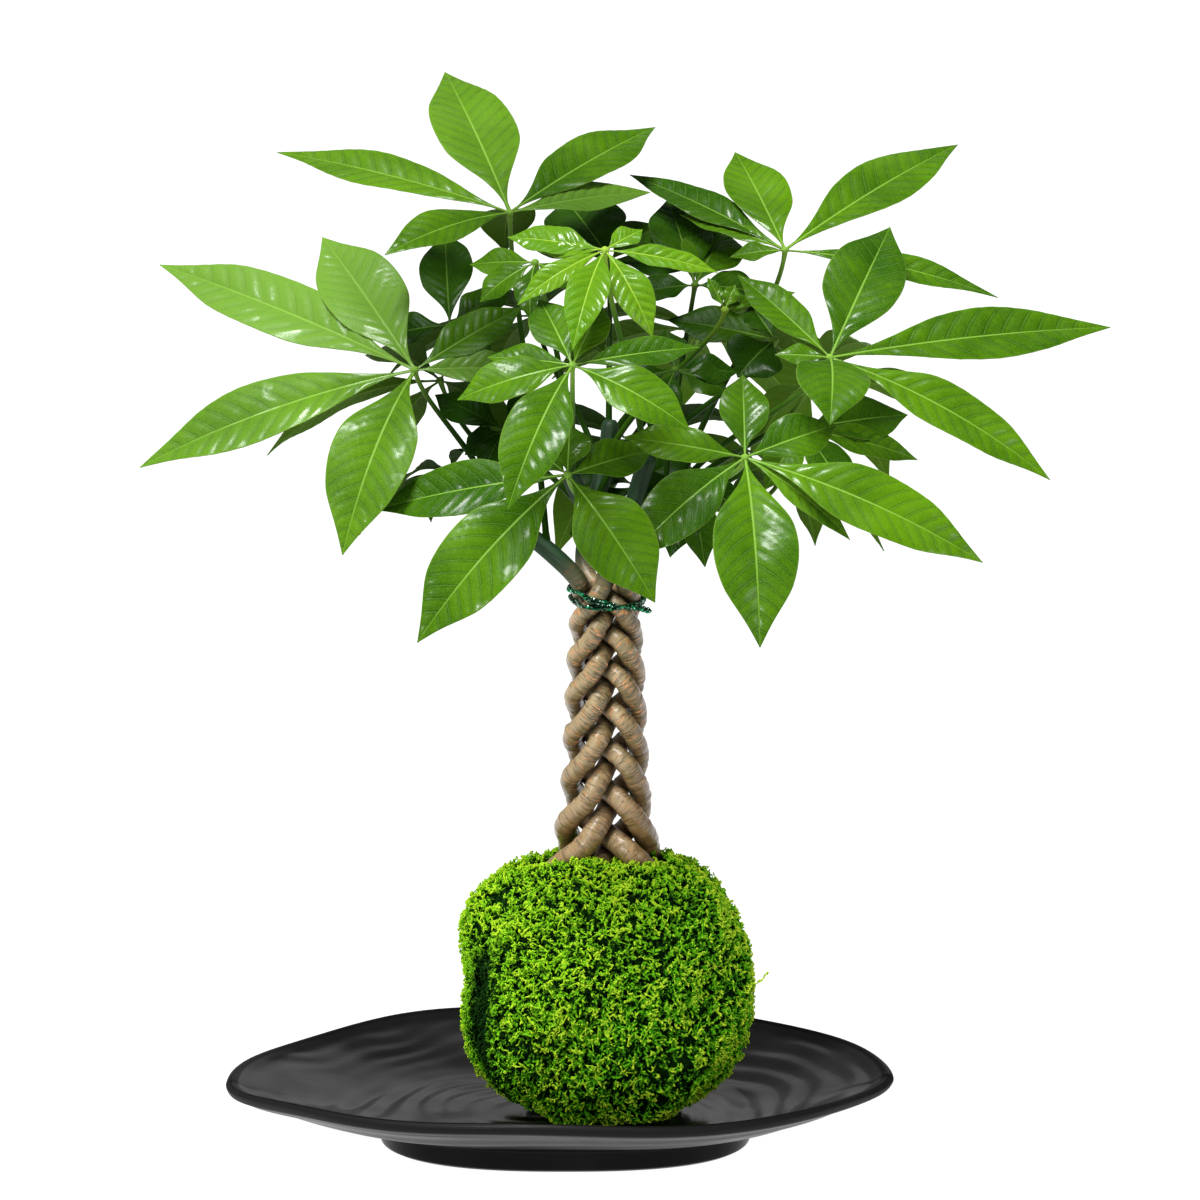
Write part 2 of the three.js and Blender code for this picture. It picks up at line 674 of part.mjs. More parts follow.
// The stalk, from the middle of its stem up and out to the hub.
function petiole(start, hub, upper) {
  const length = start.distanceTo(hub);
  const curve = new THREE.CubicBezierCurve3(
    start,
    start.clone().lerp(hub, 0.25).addScaledVector(UP, 0.16 * length),
    hub.clone().addScaledVector(upper, -0.3 * length),
    hub,
  );
  const shares = Array.from({ length: PETIOLE.steps + 1 }, (_, i) => i / PETIOLE.steps);
  return toSolid(bar(
    shares.map((share) => curve.getPoint(share)),
    shares.map((share) => THREE.MathUtils.lerp(PETIOLE.base, PETIOLE.tip, share)),
    PETIOLE.sides,
  ));
}

function leaf({ name, stem, from, hub, upper, tips, young }) {
  const start = topCurve(stem - 1).getPoint(from);
  const knob = toSolid(new THREE.SphereGeometry(PETIOLE.hubRadius, 5, 3).translate(hub.x, hub.y, hub.z));
  let solid = petiole(start, hub, upper).add(knob);
  tips.forEach(({ tip, broad, arch }, i) => {
    const base = hub.clone().lerp(tip, 0.6 * PETIOLE.hubRadius / hub.distanceTo(tip));
    solid = solid.add(blade({ base, tip, upper, broad, arch, phase: 0.37 * i }));
  });
  solid = solid.subtract(stemSolid(stem - 1, GAP));
  return finish(name, toGeometry(solid), young ? COLOURS.youngLeaf : COLOURS.leaf);
}

function facingOf({ side, lift }) {
  const level = Math.cos(rad(lift));
  return [Math.sin(rad(side)) * level, Math.sin(rad(lift)), Math.cos(rad(side)) * level];
}

// A leaf whose tips are given as they are seen. Each lies near its leaf's plane and droops.
function seenLeaf(spec) {
  const [right, up, near] = spec.hub;
  const face = facingOf(spec);
  const tips = spec.leaflets.map(([tipRight, tipUp, broad, rise]) => {
    const across = tipRight - right;
    const above = tipUp - up;
    const lift = rise ?? -BLADE.droop * Math.hypot(across, above);
    const forward = (lift - face[0] * across - face[1] * above) / face[2];
    const hanging = Math.max(-above, 0) / Math.hypot(across, above);
    const arch = THREE.MathUtils.lerp(BLADE.sideArch, BLADE.arch, hanging);
    return { tip: seen(tipRight, tipUp, near + forward), broad, arch };
  });
  return leaf({ ...spec, hub: seen(...spec.hub), upper: facing(...face), tips });
}

// A leaf whose leaflets fan out evenly, the longest away from the stalk.
function spreadLeaf(spec) {
  const hub = seen(...spec.hub);
  const upper = facing(...facingOf(spec));
  const points = facing(Math.cos(rad(spec.points)), Math.sin(rad(spec.points)), 0);
  const ahead = points.addScaledVector(upper, -points.dot(upper)).normalize();
  const aside = upper.clone().cross(ahead);
  const tips = Array.from({ length: spec.count }, (_, i) => {
    const off = i - (spec.count - 1) / 2;
    const turn = (off * rad(300)) / spec.count;
    const length = spec.reach * (1 - 0.13 * Math.abs(off) - 0.04 * (i % 2));
    const tip = hub.clone()
      .addScaledVector(ahead, length * Math.cos(turn))
      .addScaledVector(aside, length * Math.sin(turn))
      .addScaledVector(upper, -0.2 * length);
    return { tip, broad: 0.32 * length, arch: BLADE.arch };
  });
  return leaf({ ...spec, hub, upper, tips });
}

// ---------------------------------------------------------------- the whole

const moneyTree = new THREE.Group();
const stemHoles = Array.from({ length: STEMS }, (_, k) => stemSolid(k, GAP))
  .reduce((sum, hole) => sum.add(hole));
moneyTree.add(dish(), mossCover(), rootBall(stemHoles), ...stems(), tieWire());
moneyTree.add(...LEAVES.map(seenLeaf), ...BACK_LEAVES.map(spreadLeaf));

export default moneyTree;
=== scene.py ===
"""A braided money tree with its roots in a ball of moss, on a black footed dish.

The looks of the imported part, in the part's own frame: +Z up, the front at -Y. Shapes are
worked out in millimetres, as in the part's source, and become meshes in metres.
"""

import math

import bpy
import numpy as np
from bpy.props import FloatProperty, FloatVectorProperty, IntProperty, PointerProperty
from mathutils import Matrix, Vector


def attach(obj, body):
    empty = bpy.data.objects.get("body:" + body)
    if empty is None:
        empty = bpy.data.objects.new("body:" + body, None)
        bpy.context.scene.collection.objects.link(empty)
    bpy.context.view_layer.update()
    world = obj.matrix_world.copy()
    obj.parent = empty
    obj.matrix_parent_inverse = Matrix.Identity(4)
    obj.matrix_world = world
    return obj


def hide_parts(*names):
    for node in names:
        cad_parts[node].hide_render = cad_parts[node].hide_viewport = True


bl_info = {
    "name": "Potted money tree",
    "version": (1, 0, 0),
    "blender": (4, 5, 0),
    "location": "3D view > Sidebar > Money tree",
    "description": "Dresses the packed money tree: leaves, braid, tie, moss, soil and dish",
    "category": "Object",
}

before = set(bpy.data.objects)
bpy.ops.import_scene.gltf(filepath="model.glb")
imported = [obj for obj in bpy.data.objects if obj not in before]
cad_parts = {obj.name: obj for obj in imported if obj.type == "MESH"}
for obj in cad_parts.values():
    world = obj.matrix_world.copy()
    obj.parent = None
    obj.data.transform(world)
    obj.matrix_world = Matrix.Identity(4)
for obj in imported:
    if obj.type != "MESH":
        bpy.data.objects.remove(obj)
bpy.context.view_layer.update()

MM = 0.001
UP = np.array([0.0, 0.0, 1.0])

# ---------------------------------------------------------------- the part's own sizes
# In millimetres, where nothing else is said. They follow the part's source.

EYE_DISTANCE = 5000.0
EYE_LIFT = math.radians(11)
EYE_TARGET = np.array([14.0, 0.0, 220.0])

DISH_HALF_WIDTH = 134.6
DISH_FRONT_DEPTH = 114.0
DISH_BACK_DEPTH = 124.0
FOOT_DEPTH = 0.86
FOOT_FULLNESS = 2.5
DISH_SHIFT = -3.4
POINTED_LEFT = (1.5, 1.3)  # front and back
POINTED_RIGHT = (1.45, 1.1)
RIM_WAVE = 3.2
FRONT_LIFT = 3.6
RIM_RISE = 3.0  # where the rim rises on the right
RISE_ANGLE = math.radians(32)
RISE_WIDTH = math.radians(34)
DISH_SECTION = (  # radius, height, how much of the oval and of the rim's wave it takes
    (72.5, 0, 0), (74.5, 1.2, 0), (75.5, 8.2, 0), (78.5, 9.4, 0.1), (103.5, 13, 0.5),
    (122.6, 17.4, 0.88), (133.2, 20.6, 1), (134.6, 23.24, 1), (132.2, 25, 1),
    (125.6, 22.4, 0.9), (103, 17.4, 0.5), (82, 13.1, 0.1), (74, 12, 0),
)
DISH_FLOOR = 12.0

TRUNK = np.array([16.5, -14.0])
BALL_CENTRE = np.array([16.0, -14.0, 66.0])
BALL_RADIUS = 57.4
BALL_HEIGHT = 53.6
BALL_SIZE = np.array([BALL_RADIUS, BALL_RADIUS, BALL_HEIGHT])
BALL_FULLNESS = 2.8
BALL_LUMPS = 0.02
MOSS_THICKNESS = 8.0
CREASE_ANGLE = math.radians(209)
CREASE_WIDTH = 0.12
CREASE_DEPTH = 5.0

STEMS = 5
ROUND_TRIP = np.array([
    (0.94, 0.18), (0.8, -0.71), (0.41, -0.9), (-0.57, 0.89), (-0.84, 0.85),
    (-0.98, -0.4), (-0.55, -1.02), (-0.18, -0.93), (0.26, 0.88), (0.79, 0.66),
])
BRAID_FOOT = 84.0
BRAID_TIE = 228.0
TOP_CROSSING = 207.7
CROSSING_STEP = 14.55
STEP_GROWTH = 0.45
LEFT_TURN = 0.4
STEM_SIZE = np.array([  # height, half width and half depth of the braid, stem radius
    (84, 25, 14.6, 5.9), (110, 20.8, 12, 5.2), (122, 17.8, 11, 4.9), (140, 14.8, 9.3, 4.3),
    (161, 13.8, 8.7, 4), (192, 12.8, 8.1, 3.8), (228, 10.2, 7.4, 3.7),
])
HALF_WIDTH, HALF_DEPTH, STEM_RADIUS = 1, 2, 3  # the columns of STEM_SIZE after the height
STEM_TOPS = (  # where each stem ends, and which way it leans there
    ((2, -40, 279), (-0.3, -0.6, 1)),
    ((47, -2, 266), (1, 0.2, 0.9)),
    ((33, -32, 284), (0.3, -0.4, 1)),
    ((18, 16, 290), (0, 0.4, 1)),
    ((-28, -6, 258), (-1, 0.1, 0.7)),
)
STEM_TOP_RADIUS = 3.6
CUT_STEM = 4  # the stem whose end is an old dark cut

WIRE_RADIUS = 0.9
WIRE_HEIGHT = 224.4
WIRE_SLOPE = 3.8
WIRE_LOW_SIDE = math.radians(330)
WIRE_APART = 3.2
TWIST_ANGLE = math.radians(318)
TWIST_END = np.array([9.0, -2.5, -2.0])
TWIST_BEND = np.array([0.0, -0.6, 0.4])

FOLD = math.radians(8)
ARCH = 0.12
SIDE_ARCH = 0.025
DROOP = 0.15
RUFFLE = 0.7
PETIOLE_BASE = 1.7
PETIOLE_TIP = 1.1
HUB_RADIUS = 2.1

# Each leaf: the stem it grows on, how far up that stem's top, its hub as seen from the front
# (right, up, near), which way its upper side faces (to the right, upwards), and its leaflets:
# right, up and full width, then, where it isn't the usual, the rise over the leaf's plane.
LEAVES = {
    "leaf_top_left": (5, 0.55, (-36, 155, 10), (0, 52), (
        (-62, 211, 34), (-129, 179, 23), (22, 189, 28),
        (20, 163, 20), (-86, 138, 22, 6), (-38, 139, 24, -44))),
    "leaf_left": (5, 0.95, (-74, 92, 50), (-7, 37), (
        (-176, 134, 29), (-184, 53, 29), (-103, 18, 34),
        (-111, 145, 33), (-31, 117, 20), (-29, 92, 17))),
    "leaf_young_front": (3, 0.95, (2, 140, 95), (0, 42), (
        (-37, 145, 16), (-33, 118, 12), (-11, 100, 17, 2), (21, 105, 16, -12),
        (47, 131, 12), (17, 148, 11), (-24, 139, 9))),
    "leaf_front": (1, 0.95, (-11, 94, 128), (0, 38), (
        (-37, 36, 26), (36, 68, 23), (40, 101, 15), (-57, 80, 21),
        (-45, 97, 14), (-24, 120, 20), (1, 118, 16))),
    "leaf_low_front": (1, 0.45, (-13, 50, 98), (-5, 28), (
        (-73, -17, 34), (22, -1, 31), (-90, 36, 24, -20),
        (21, 60, 19, -18), (-12, 70, 18), (-28, 62, 14))),
    "leaf_low_right": (3, 0.5, (58, 57, 90), (5, 33), (
        (64, -19, 34), (153, 15, 29), (11, 16, 26), (9, 65, 18, 2),
        (57, 90, 20), (95, 70, 21), (100, 24, 12, -14))),
    "leaf_right": (2, 0.85, (92, 97, 50), (10, 38), (
        (204, 109, 26), (180, 48, 24), (116, 149, 32),
        (55, 130, 18), (70, 98, 10), (92, 70, 30, 18))),
    "leaf_top_right": (2, 0.95, (74, 140, 0), (5, 50), (
        (143, 182, 27), (54, 179, 26), (12, 170, 18),
        (32, 154, 12), (52, 137, 11), (159, 121, 16))),
    "leaf_behind_top": (4, 0.9, (4, 136, -20), (0, 50), (
        (-14, 160, 34), (24, 150, 24), (-32, 146, 22), (34, 132, 18))),
    "leaf_behind_right_top": (2, 0.75, (38, 126, -2), (10, 48), (
        (27, 160, 26), (50, 148, 26), (66, 122, 20), (14, 122, 16))),
    "leaf_behind_left": (5, 0.8, (-60, 110, 10), (-12, 45), (
        (-62, 147, 22), (-36, 124, 18), (-90, 104, 18), (-44, 92, 14))),
    "leaf_behind_young": (1, 0.8, (-26, 135, 60), (-15, 42), (
        (-48, 119, 15), (-52, 134, 14), (-28, 112, 13), (-8, 124, 14))),
    "leaf_shoot": (4, 0.8, (50, 116, 25), (10, 40), (
        (43, 129, 6, 4), (54, 126, 7, 4), (61, 121, 7), (78, 123, 9))),
    "leaf_inner_right": (3, 0.9, (70, 104, 8), (10, 40), (
        (55, 89, 26), (27, 112, 20), (60, 118, 16))),
    "leaf_far_right": (2, 0.4, (80, 68, 36), (20, 35), (
        (123, 74, 22), (127, 56, 15), (98, 40, 20), (66, 44, 16))),
    "leaf_low_middle": (3, 0.25, (36, 48, 30), (0, 30), (
        (28, 17, 18), (42, 13, 15), (9, 38, 16), (58, 34, 14))),
    "leaf_low_left": (1, 0.5, (-38, 68, 30), (-20, 35), (
        (-54, 58, 14), (-66, 82, 16), (-46, 50, 13), (-24, 84, 14))),
    "leaf_middle": (1, 0.65, (30, 92, 40), (10, 38), (
        (55, 91, 15), (51, 83, 17), (20, 66, 16), (2, 84, 14), (26, 108, 14))),
    "leaf_inner_low": (4, 0.2, (14, 46, -8), (0, 32), (
        (-16, 56, 18), (-12, 26, 18), (8, 14, 18), (34, 26, 18), (38, 60, 16))),
}

# The leaves at the back, whose leaflets spread evenly: stem, how far up it, hub, facing, then
# the longest leaflet's length, how many there are, and which way the longest points.
BACK_LEAVES = {
    "leaf_back_left": (5, 0.65, (-64, 88, -50), (-150, 58), (76, 5, 180)),
    "leaf_back_right": (2, 0.6, (84, 88, -58), (155, 58), (74, 5, 12)),
    "leaf_back_low": (4, 0.4, (12, 64, -66), (180, 58), (80, 6, -90)),
    "leaf_back_high": (4, 0.85, (40, 108, -84), (165, 66), (84, 6, -90)),
    "leaf_back_low_left": (5, 0.3, (-60, 52, -18), (-125, 62), (44, 5, 220)),
    "leaf_back_low_right": (2, 0.3, (72, 48, -10), (125, 60), (50, 5, -5)),
    "leaf_back_top": (4, 0.7, (-26, 114, -68), (-150, 68), (64, 5, 200)),
}
YOUNG_LEAVES = ("leaf_young_front", "leaf_shoot")

# ---------------------------------------------------------------- finer sizes of the looks

TINY = 1e-6  # keeps a length that is divided by from being zero

DISH_TURNS = 320  # faces round the dish
SPAN_STEPS = 9  # faces between two rows of the dish's section
FLOOR_RINGS = 46
FLOOR_HOLE = 0.02  # the innermost ring, as a share of the outermost
INSIDE_ROW = 8.4  # the row of the dish's section from which it is inside the lip
MARKS_FROM = (4, 18)  # radii over which the throwing marks fade in
MARKS_TO = (124, 131)  # and fade out again
LIP_RADII = (130.6, 133.2)
LIP_HEIGHTS = (20, 24.6)
UNDER_RADII = (76, 128)  # between which the underside has turning marks
UNDER_MARKS = 0.25  # their height
UNDER_APART = 3.1

SKIN_CLEAR = 0.4  # left between the moss's outside and the dish
POLE_GAP = 0.45  # what a ball's first and last rings leave free, as a share of a ring
BED_TURNS = 300
BED_RINGS = 130
BED_DEPTH = 3.2  # of the matted bed under the moss's outside
MOSS_PIECES = 16
MOSS_SEED = 41
LOWEST_CURL = -0.93  # the cosine of how far down the ball the curls go
CURL_ROOT = 2.9  # how deep under the moss's outside a curl starts
CURL_STARTS = (-0.6, 0.9)  # how much deeper or less deep than that
CURL_STEEPNESS = (0.1, 1.15)
CURL_BEND = 0.34
CURL_HOOK = 0.22
CURL_LENGTHS = (0.6, 1.45)  # the shortest and the longest, as shares of a middling one
CURL_RADII = (0.7, 1.3)
CURL_KNOBS = (0.7, 1.3)
CURL_POINT = 0.6  # the last ring, as a share of the others
CURL_CLEAR = 0.75  # left between the curls and the dish
CURL_STEPS = 6
CURL_SIDES = 4
CRUMBS_EACH = 4
CRUMB_STEPS = 4
CRUMB_LENGTHS = (0.6, 1.4)
CRUMB_THICKNESS = 1.1  # as a share of its curl's
CRUMB_TOP = 1.4  # how far outside the moss's outside crumbs are held down
STEM_MARGIN = 0.3  # kept free of moss round the stems
FURROW_FADE = (8, 32)  # heights over the ball's middle between which its furrow ends
FURROW_SHADE = 0.78  # how much darker the moss is in its furrow
DARKEST_DEPTH = -3.4  # where the painted shade on the moss is deepest, from its outside
LIT_SPAN = 4.6  # from there to where the moss is fully lit, without painted shade
MOSS_LIGHT_SIDE = (-0.6, -0.2, 0.75)  # towards where the moss is painted lighter, as if lit from there
SPRIG = ((59, -155, 14), (62, -153, 15), (64.5, -152.5, 15), (67.4, -148.6, 16))  # as it is seen
SPRIG_BUDS = ((64, -152.5, 15), (67, -149, 16), (60.5, -154, 14))
SPRIG_PIECES = 4
SPRIG_WAVE = 0.45
SPRIG_RADIUS = 0.42
SPRIG_SHADE = 0.8
SHOOT_LENGTH = 1.6

SOIL_TURNS = 180
SOIL_RINGS = 90
SOIL_GAP = 0.6  # between the soil and the moss

STEM_STEPS = 210
TOP_STEPS = 34
STEM_SIDES = 32
STEM_GAP = 0.12  # left between two stems that press on each other
STEM_SWELL = 0.022  # how much thicker or thinner a stem is in places
BARK_SHIFT = 61.0  # so that no two stems have the same bark
BARK_ENDS = (224, 236)  # heights over which the ringed bark ends
GREEN_STARTS = (220, 240)
TOP_TAPER = 0.72  # of a stem's last ring
CLOSE_RANGE = (0.2, 3.4)  # distances to another stem over which the bark's shade fades
SHORTEST_SPOKE = 0.3  # how far in a stem may be pressed, as a share of its radius
HALVINGS = 8  # how often the search for a free place is halved
BATCH = 600  # points that are measured at once
BARK_LIGHT_SIDE = np.array([-0.55, -0.5, 0.65])  # the way to the light: the bark is painted lighter on the side that faces it, and with painted shade on the other

TIE_SEED = 8
TIE_STEPS = 200
FOIL_SIDES = 8
FOIL_CREASES = (0.93, 1.07)
STRAND_RADIUS = 0.8 * WIRE_RADIUS
TURN_REACH = 1.45 * WIRE_RADIUS  # from the stems to the middle of a turn
TIE_TURNS = ((WIRE_HEIGHT + 1, WIRE_SLOPE), (WIRE_HEIGHT + 1 - WIRE_APART, 0.4))  # height, slope
TAUT_SPAN = np.linspace(-1.2, 1.2, 61)  # angles over which a taut wire bridges gaps
TWIST_GAP = 0.6
TWIST_STEPS = 46
TWIST_RADIUS = 0.7
TWIST_OFFSET = 0.66
TWIST_LAY = 3.4

BLADE_COLUMNS = (0.03, 0.1, 0.2, 0.33, 0.47, 0.61, 0.75, 0.88, 0.965, 1.0)  # rib to edge
STEPS_PER_VEIN = 8
VEINS = (8, 15)  # the fewest and the most on each side of a leaflet
VEIN_BOW = 0.62  # how far the side veins run towards the tip
VEIN_SHIFT = 0.175  # how far the left veins are set off from the right ones
CAMBER = 0.05
STALK_STEPS = 48
STALK_SIDES = 12
KNOB_RINGS = 9
KNOB_SIDES = 14
RIB_ABOVE = 0.3  # how far the midrib stands out of the blade, as a share of its half width
RIB_BELOW = 1.1
EDGE_THINNING = 0.55
KNOB_HEIGHT = 0.62  # as a share of the hub's radius
KNOB_WIDTH = 0.78
BACK_SPREAD = math.radians(300)  # what the leaflets of a back leaf fan out over
BACK_TAPER = 0.13  # how much shorter each leaflet is than the one beside it
BACK_UNEVENNESS = 0.04
BACK_DROOP = 0.2
BACK_BREADTH = 0.32

CROWN_SHADE_MIDDLE = (0.004, 0.03, 0.285)  # the middle of the crown, towards which the leaves get painted shade, in metres
LEAF_TONE_AND_PAINTED_LIGHT = {  # how much lighter than a middling leaf a leaf is, or below zero how much darker; the dark tones of the inner and back leaves are painted shade, and leaf_left's high tone carries a painted sheen
    "leaf_top_left": 0.35, "leaf_left": 0.75, "leaf_front": -0.1, "leaf_low_front": -0.05,
    "leaf_low_right": 0.0, "leaf_right": -0.1, "leaf_top_right": 0.0, "leaf_behind_top": -0.6,
    "leaf_behind_right_top": -0.6, "leaf_inner_low": -1.2, "leaf_low_middle": -1.0,
    "leaf_middle": -0.9, "leaf_inner_right": -0.6, "leaf_low_left": -0.8, "leaf_far_right": -0.3,
    "leaf_behind_left": -0.5, "leaf_behind_young": -0.2, "leaf_back_low": -1.2,
    "leaf_back_high": -1.0, "leaf_back_top": -1.0,
}

# Colours that the finishes lay over the ones in the settings.
# painted light on the moss's upper left side
PAINTED_LIGHT_MOSS = (0.36, 0.66, 0.012)
WARM_MOSS = (0.40, 0.50, 0.03)
DRY_SOIL = (0.075, 0.05, 0.028)
GREY_BARK = (0.095, 0.10, 0.045)
# painted highlight on the side of the bark that faces the light
PAINTED_HIGHLIGHT_BARK = (0.70, 0.54, 0.32)
BANDED_BARK = (0.30, 0.20, 0.09)
RING_SHADOW = (0.045, 0.03, 0.012)
RING_CREST = (0.48, 0.34, 0.17)
FINE_RING = (0.56, 0.40, 0.21)
LOW_BARK = (0.25, 0.115, 0.03)
BARK_GRAIN = (0.34, 0.26, 0.14)
CUT_END = (0.012, 0.011, 0.01)
FOIL_GLINT = (0.7, 1.0, 0.88)
# a painted sheen that whitens the palest leaves
PAINTED_SHEEN_LEAF = (0.17, 0.32, 0.06)
LEAF_EDGE = (0.22, 0.34, 0.06)
STALK_FOOT = (0.06, 0.17, 0.012)

# The stage, in metres: where the lights stand, what they are turned to, and the ways to the
# two suns.
FLOOR_HALF = 30.0
LIGHT_AIM = Vector((0.014, 0, 0.25))
FILL_PLACE = Vector((2.2, -1.6, 1.2))
FILL_SIZE = 1.4
BACK_PLACE = Vector((0.5, 2.6, 1.1))
BACK_SIZE = 1.7
BACK_SHARE = 0.12  # of the fill light's strength
KEY_WAY = Vector((-0.95, -1.0, 2.4))
TOP_WAY = Vector((-0.3, -0.25, 2.4))
SUN_ANGLE = math.radians(18)
FRONT_PLACE = Vector((-1.3, -1.9, 0.85))
FRONT_AIM = Vector((0.016, -0.014, 0.13))
FRONT_CONE = math.radians(8.5)
FRONT_BLEND = 0.7
FRONT_RADIUS = 0.25
SENSOR_WIDTH = 36  # in millimetres, as the width of what the camera sees at the plant is
VIEW_WIDTH = 480.0
FARTHEST = 100  # what the camera still sees


# ---------------------------------------------------------------- small helpers


def unit(vectors):
    """The same directions, one long."""
    return vectors / np.linalg.norm(vectors, axis=-1, keepdims=True)


def smooth_step(value, low, high):
    """0 below low, 1 above high, and smooth between."""
    share = np.clip((value - low) / (high - low), 0, 1)
    return share * share * (3 - 2 * share)


def lerp(first, second, share):
    """A value this share of the way from the first to the second."""
    return first + (second - first) * share


def angles_round(count):
    """Angles spread evenly, all the way round."""
    return 2 * math.pi * np.arange(count) / count


def swell_at(angle, middle, width):
    """1 at the middle angle, falling to 0 on both sides of it."""
    away = angle - middle
    away = np.arctan2(np.sin(away), np.cos(away))
    return np.exp(-((away / width) ** 2))


def square_to(along, ways):
    """The ways, turned square to the directions along."""
    return unit(ways - along * (ways * along).sum(axis=-1, keepdims=True))


def lumps(points, size, seed, waves=9):
    """Soft lumps of about this size over the points, mostly between -1 and 1."""
    rng = np.random.default_rng(seed)
    ways = unit(rng.normal(size=(waves, 3))) * (2 * math.pi / size)
    ways *= rng.uniform(0.7, 1.5, (waves, 1))
    phases = rng.uniform(0, 2 * math.pi, waves)
    return np.sin(points @ ways.T + phases).sum(axis=-1) / math.sqrt(waves) / 1.4


def seen(right, up, near):
    """A place in the part, from where it is seen from the front."""
    shrink = 1 - near / EYE_DISTANCE
    sine, cosine = math.sin(EYE_LIFT), math.cos(EYE_LIFT)
    return EYE_TARGET + np.array([
        right * shrink,
        up * shrink * sine - near * cosine,
        up * shrink * cosine + near * sine,
    ])


def facing(right, up, near):
    """The direction in the part of a direction as it is seen."""
    return unit(seen(right, up, near) - seen(0, 0, 0))


def cubic(points, share):
    """Places along a cubic Bezier curve with four points."""
    a, b, c, d = (np.asarray(point, float) for point in points)
    t = np.asarray(share, float)[:, None]
    rest = 1 - t
    return rest ** 3 * a + 3 * rest ** 2 * t * b + 3 * rest * t ** 2 * c + t ** 3 * d


def bent(start, middle, end, share):
    """Places along a plain bend from the start to the end, drawn towards the middle."""
    return (1 - share) ** 2 * start + 2 * share * (1 - share) * middle + share ** 2 * end


def around(centre, angle, reach, height):
    """Places round an upright axis."""
    return np.stack([
        centre[0] + reach * np.cos(angle),
        centre[1] + reach * np.sin(angle),
        height + 0 * angle,
    ], axis=-1)


def run_along(line):
    """How far along a line each of its points is."""
    steps = np.linalg.norm(np.diff(line, axis=0), axis=1)
    return np.concatenate([[0], np.cumsum(steps)])


class Shape:
    """Points in millimetres, faces, and the values that a finish reads at each point."""

    def __init__(self):
        self.points = []
        self.faces = {3: [], 4: []}
        self.values = {}
        self.count = 0

    def add(self, points, quads=(), triangles=(), **values):
        """Adds points and faces. A value is one for all, or a number or vector for each point."""
        points = np.asarray(points, float).reshape(-1, 3)
        for sides, faces in ((4, quads), (3, triangles)):
            faces = np.asarray(faces, int).reshape(-1, sides)
            self.faces[sides].append(faces + self.count)
        for name, value in values.items():
            value = np.asarray(value, float)
            if value.ndim == 0:
                value = np.full(len(points), float(value))
            width = 3 if value.size == 3 * len(points) else 1
            self.values.setdefault(name, []).append(value.reshape(-1, width))
        self.points.append(points)
        self.count += len(points)

    def mesh(self, name):
        """The mesh, with the values as attributes of its points."""
        mesh = bpy.data.meshes.new(name)
        points = np.concatenate(self.points) * MM
        quads = np.concatenate(self.faces[4])
        triangles = np.concatenate(self.faces[3])
        corners = np.concatenate([quads.ravel(), triangles.ravel()])
        triangle_starts = 4 * len(quads) + 3 * np.arange(len(triangles))
        starts = np.concatenate([4 * np.arange(len(quads)), triangle_starts])
        mesh.vertices.add(len(points))
        mesh.vertices.foreach_set("co", points.astype(np.float32).ravel())
        mesh.loops.add(len(corners))
        mesh.loops.foreach_set("vertex_index", corners.astype(np.int32))
        mesh.polygons.add(len(starts))
        mesh.polygons.foreach_set("loop_start", starts.astype(np.int32))
        for key, parts in self.values.items():
            value = np.concatenate(parts)
            vector = value.shape[1] == 3
            kind, field = ("FLOAT_VECTOR", "vector") if vector else ("FLOAT", "value")
            layer = mesh.attributes.new(key, kind, "POINT")
            layer.data.foreach_set(field, value.astype(np.float32).ravel())
        mesh.update(calc_edges=True)
        if mesh.validate():
            raise RuntimeError(f"{name} has faces that aren't whole")
        mesh.shade_smooth()
        return mesh

    def piece(self, name, finish, slot, *nodes):
        """Puts the mesh in the scene, riding on the part in place of the nodes."""
        made = bpy.data.objects.new(name, self.mesh(name))
        made.data.materials.append(finish)
        bpy.context.scene.collection.objects.link(made)
        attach(made, "root")
        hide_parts(*nodes)


def grid_faces(rows, columns, closed=False):
    """The faces between the rows and columns of a grid of points, which may close round."""
    across = columns if closed else columns - 1
    i, j = np.meshgrid(np.arange(rows - 1), np.arange(across), indexing="ij")
    here = i * columns + j
    beside = i * columns + (j + 1) % columns
    quads = np.stack([here, here + columns, beside + columns, beside], axis=-1)
    return quads.reshape(-1, 4)


def sheet_faces(rows, columns):
    """The faces of a thin sheet: a grid, the same grid turned over, and the edges between."""
    count = rows * columns
    grid = grid_faces(rows, columns)
    i, j = np.arange(rows - 1), np.arange(columns - 1)
    left, right = i * columns, i * columns + columns - 1
    last = (rows - 1) * columns
    return np.concatenate([
        grid,
        grid[:, ::-1] + count,
        np.stack([left + count, left + columns + count, left + columns, left], axis=1),
        np.stack([right, right + columns, right + columns + count, right + count], axis=1),
        np.stack([j, j + 1, j + 1 + count, j + count], axis=1),
        np.stack([last + j + count, last + j + 1 + count, last + j + 1, last + j], axis=1),
    ])


def fan(start, middle, count, outward):
    """Triangles from a ring of points to the point in its middle."""
    here = start + np.arange(count)
    beside = start + (np.arange(count) + 1) % count
    centre = np.full(count, middle)
    order = [here, beside, centre] if outward else [beside, here, centre]
    return np.stack(order, axis=-1)


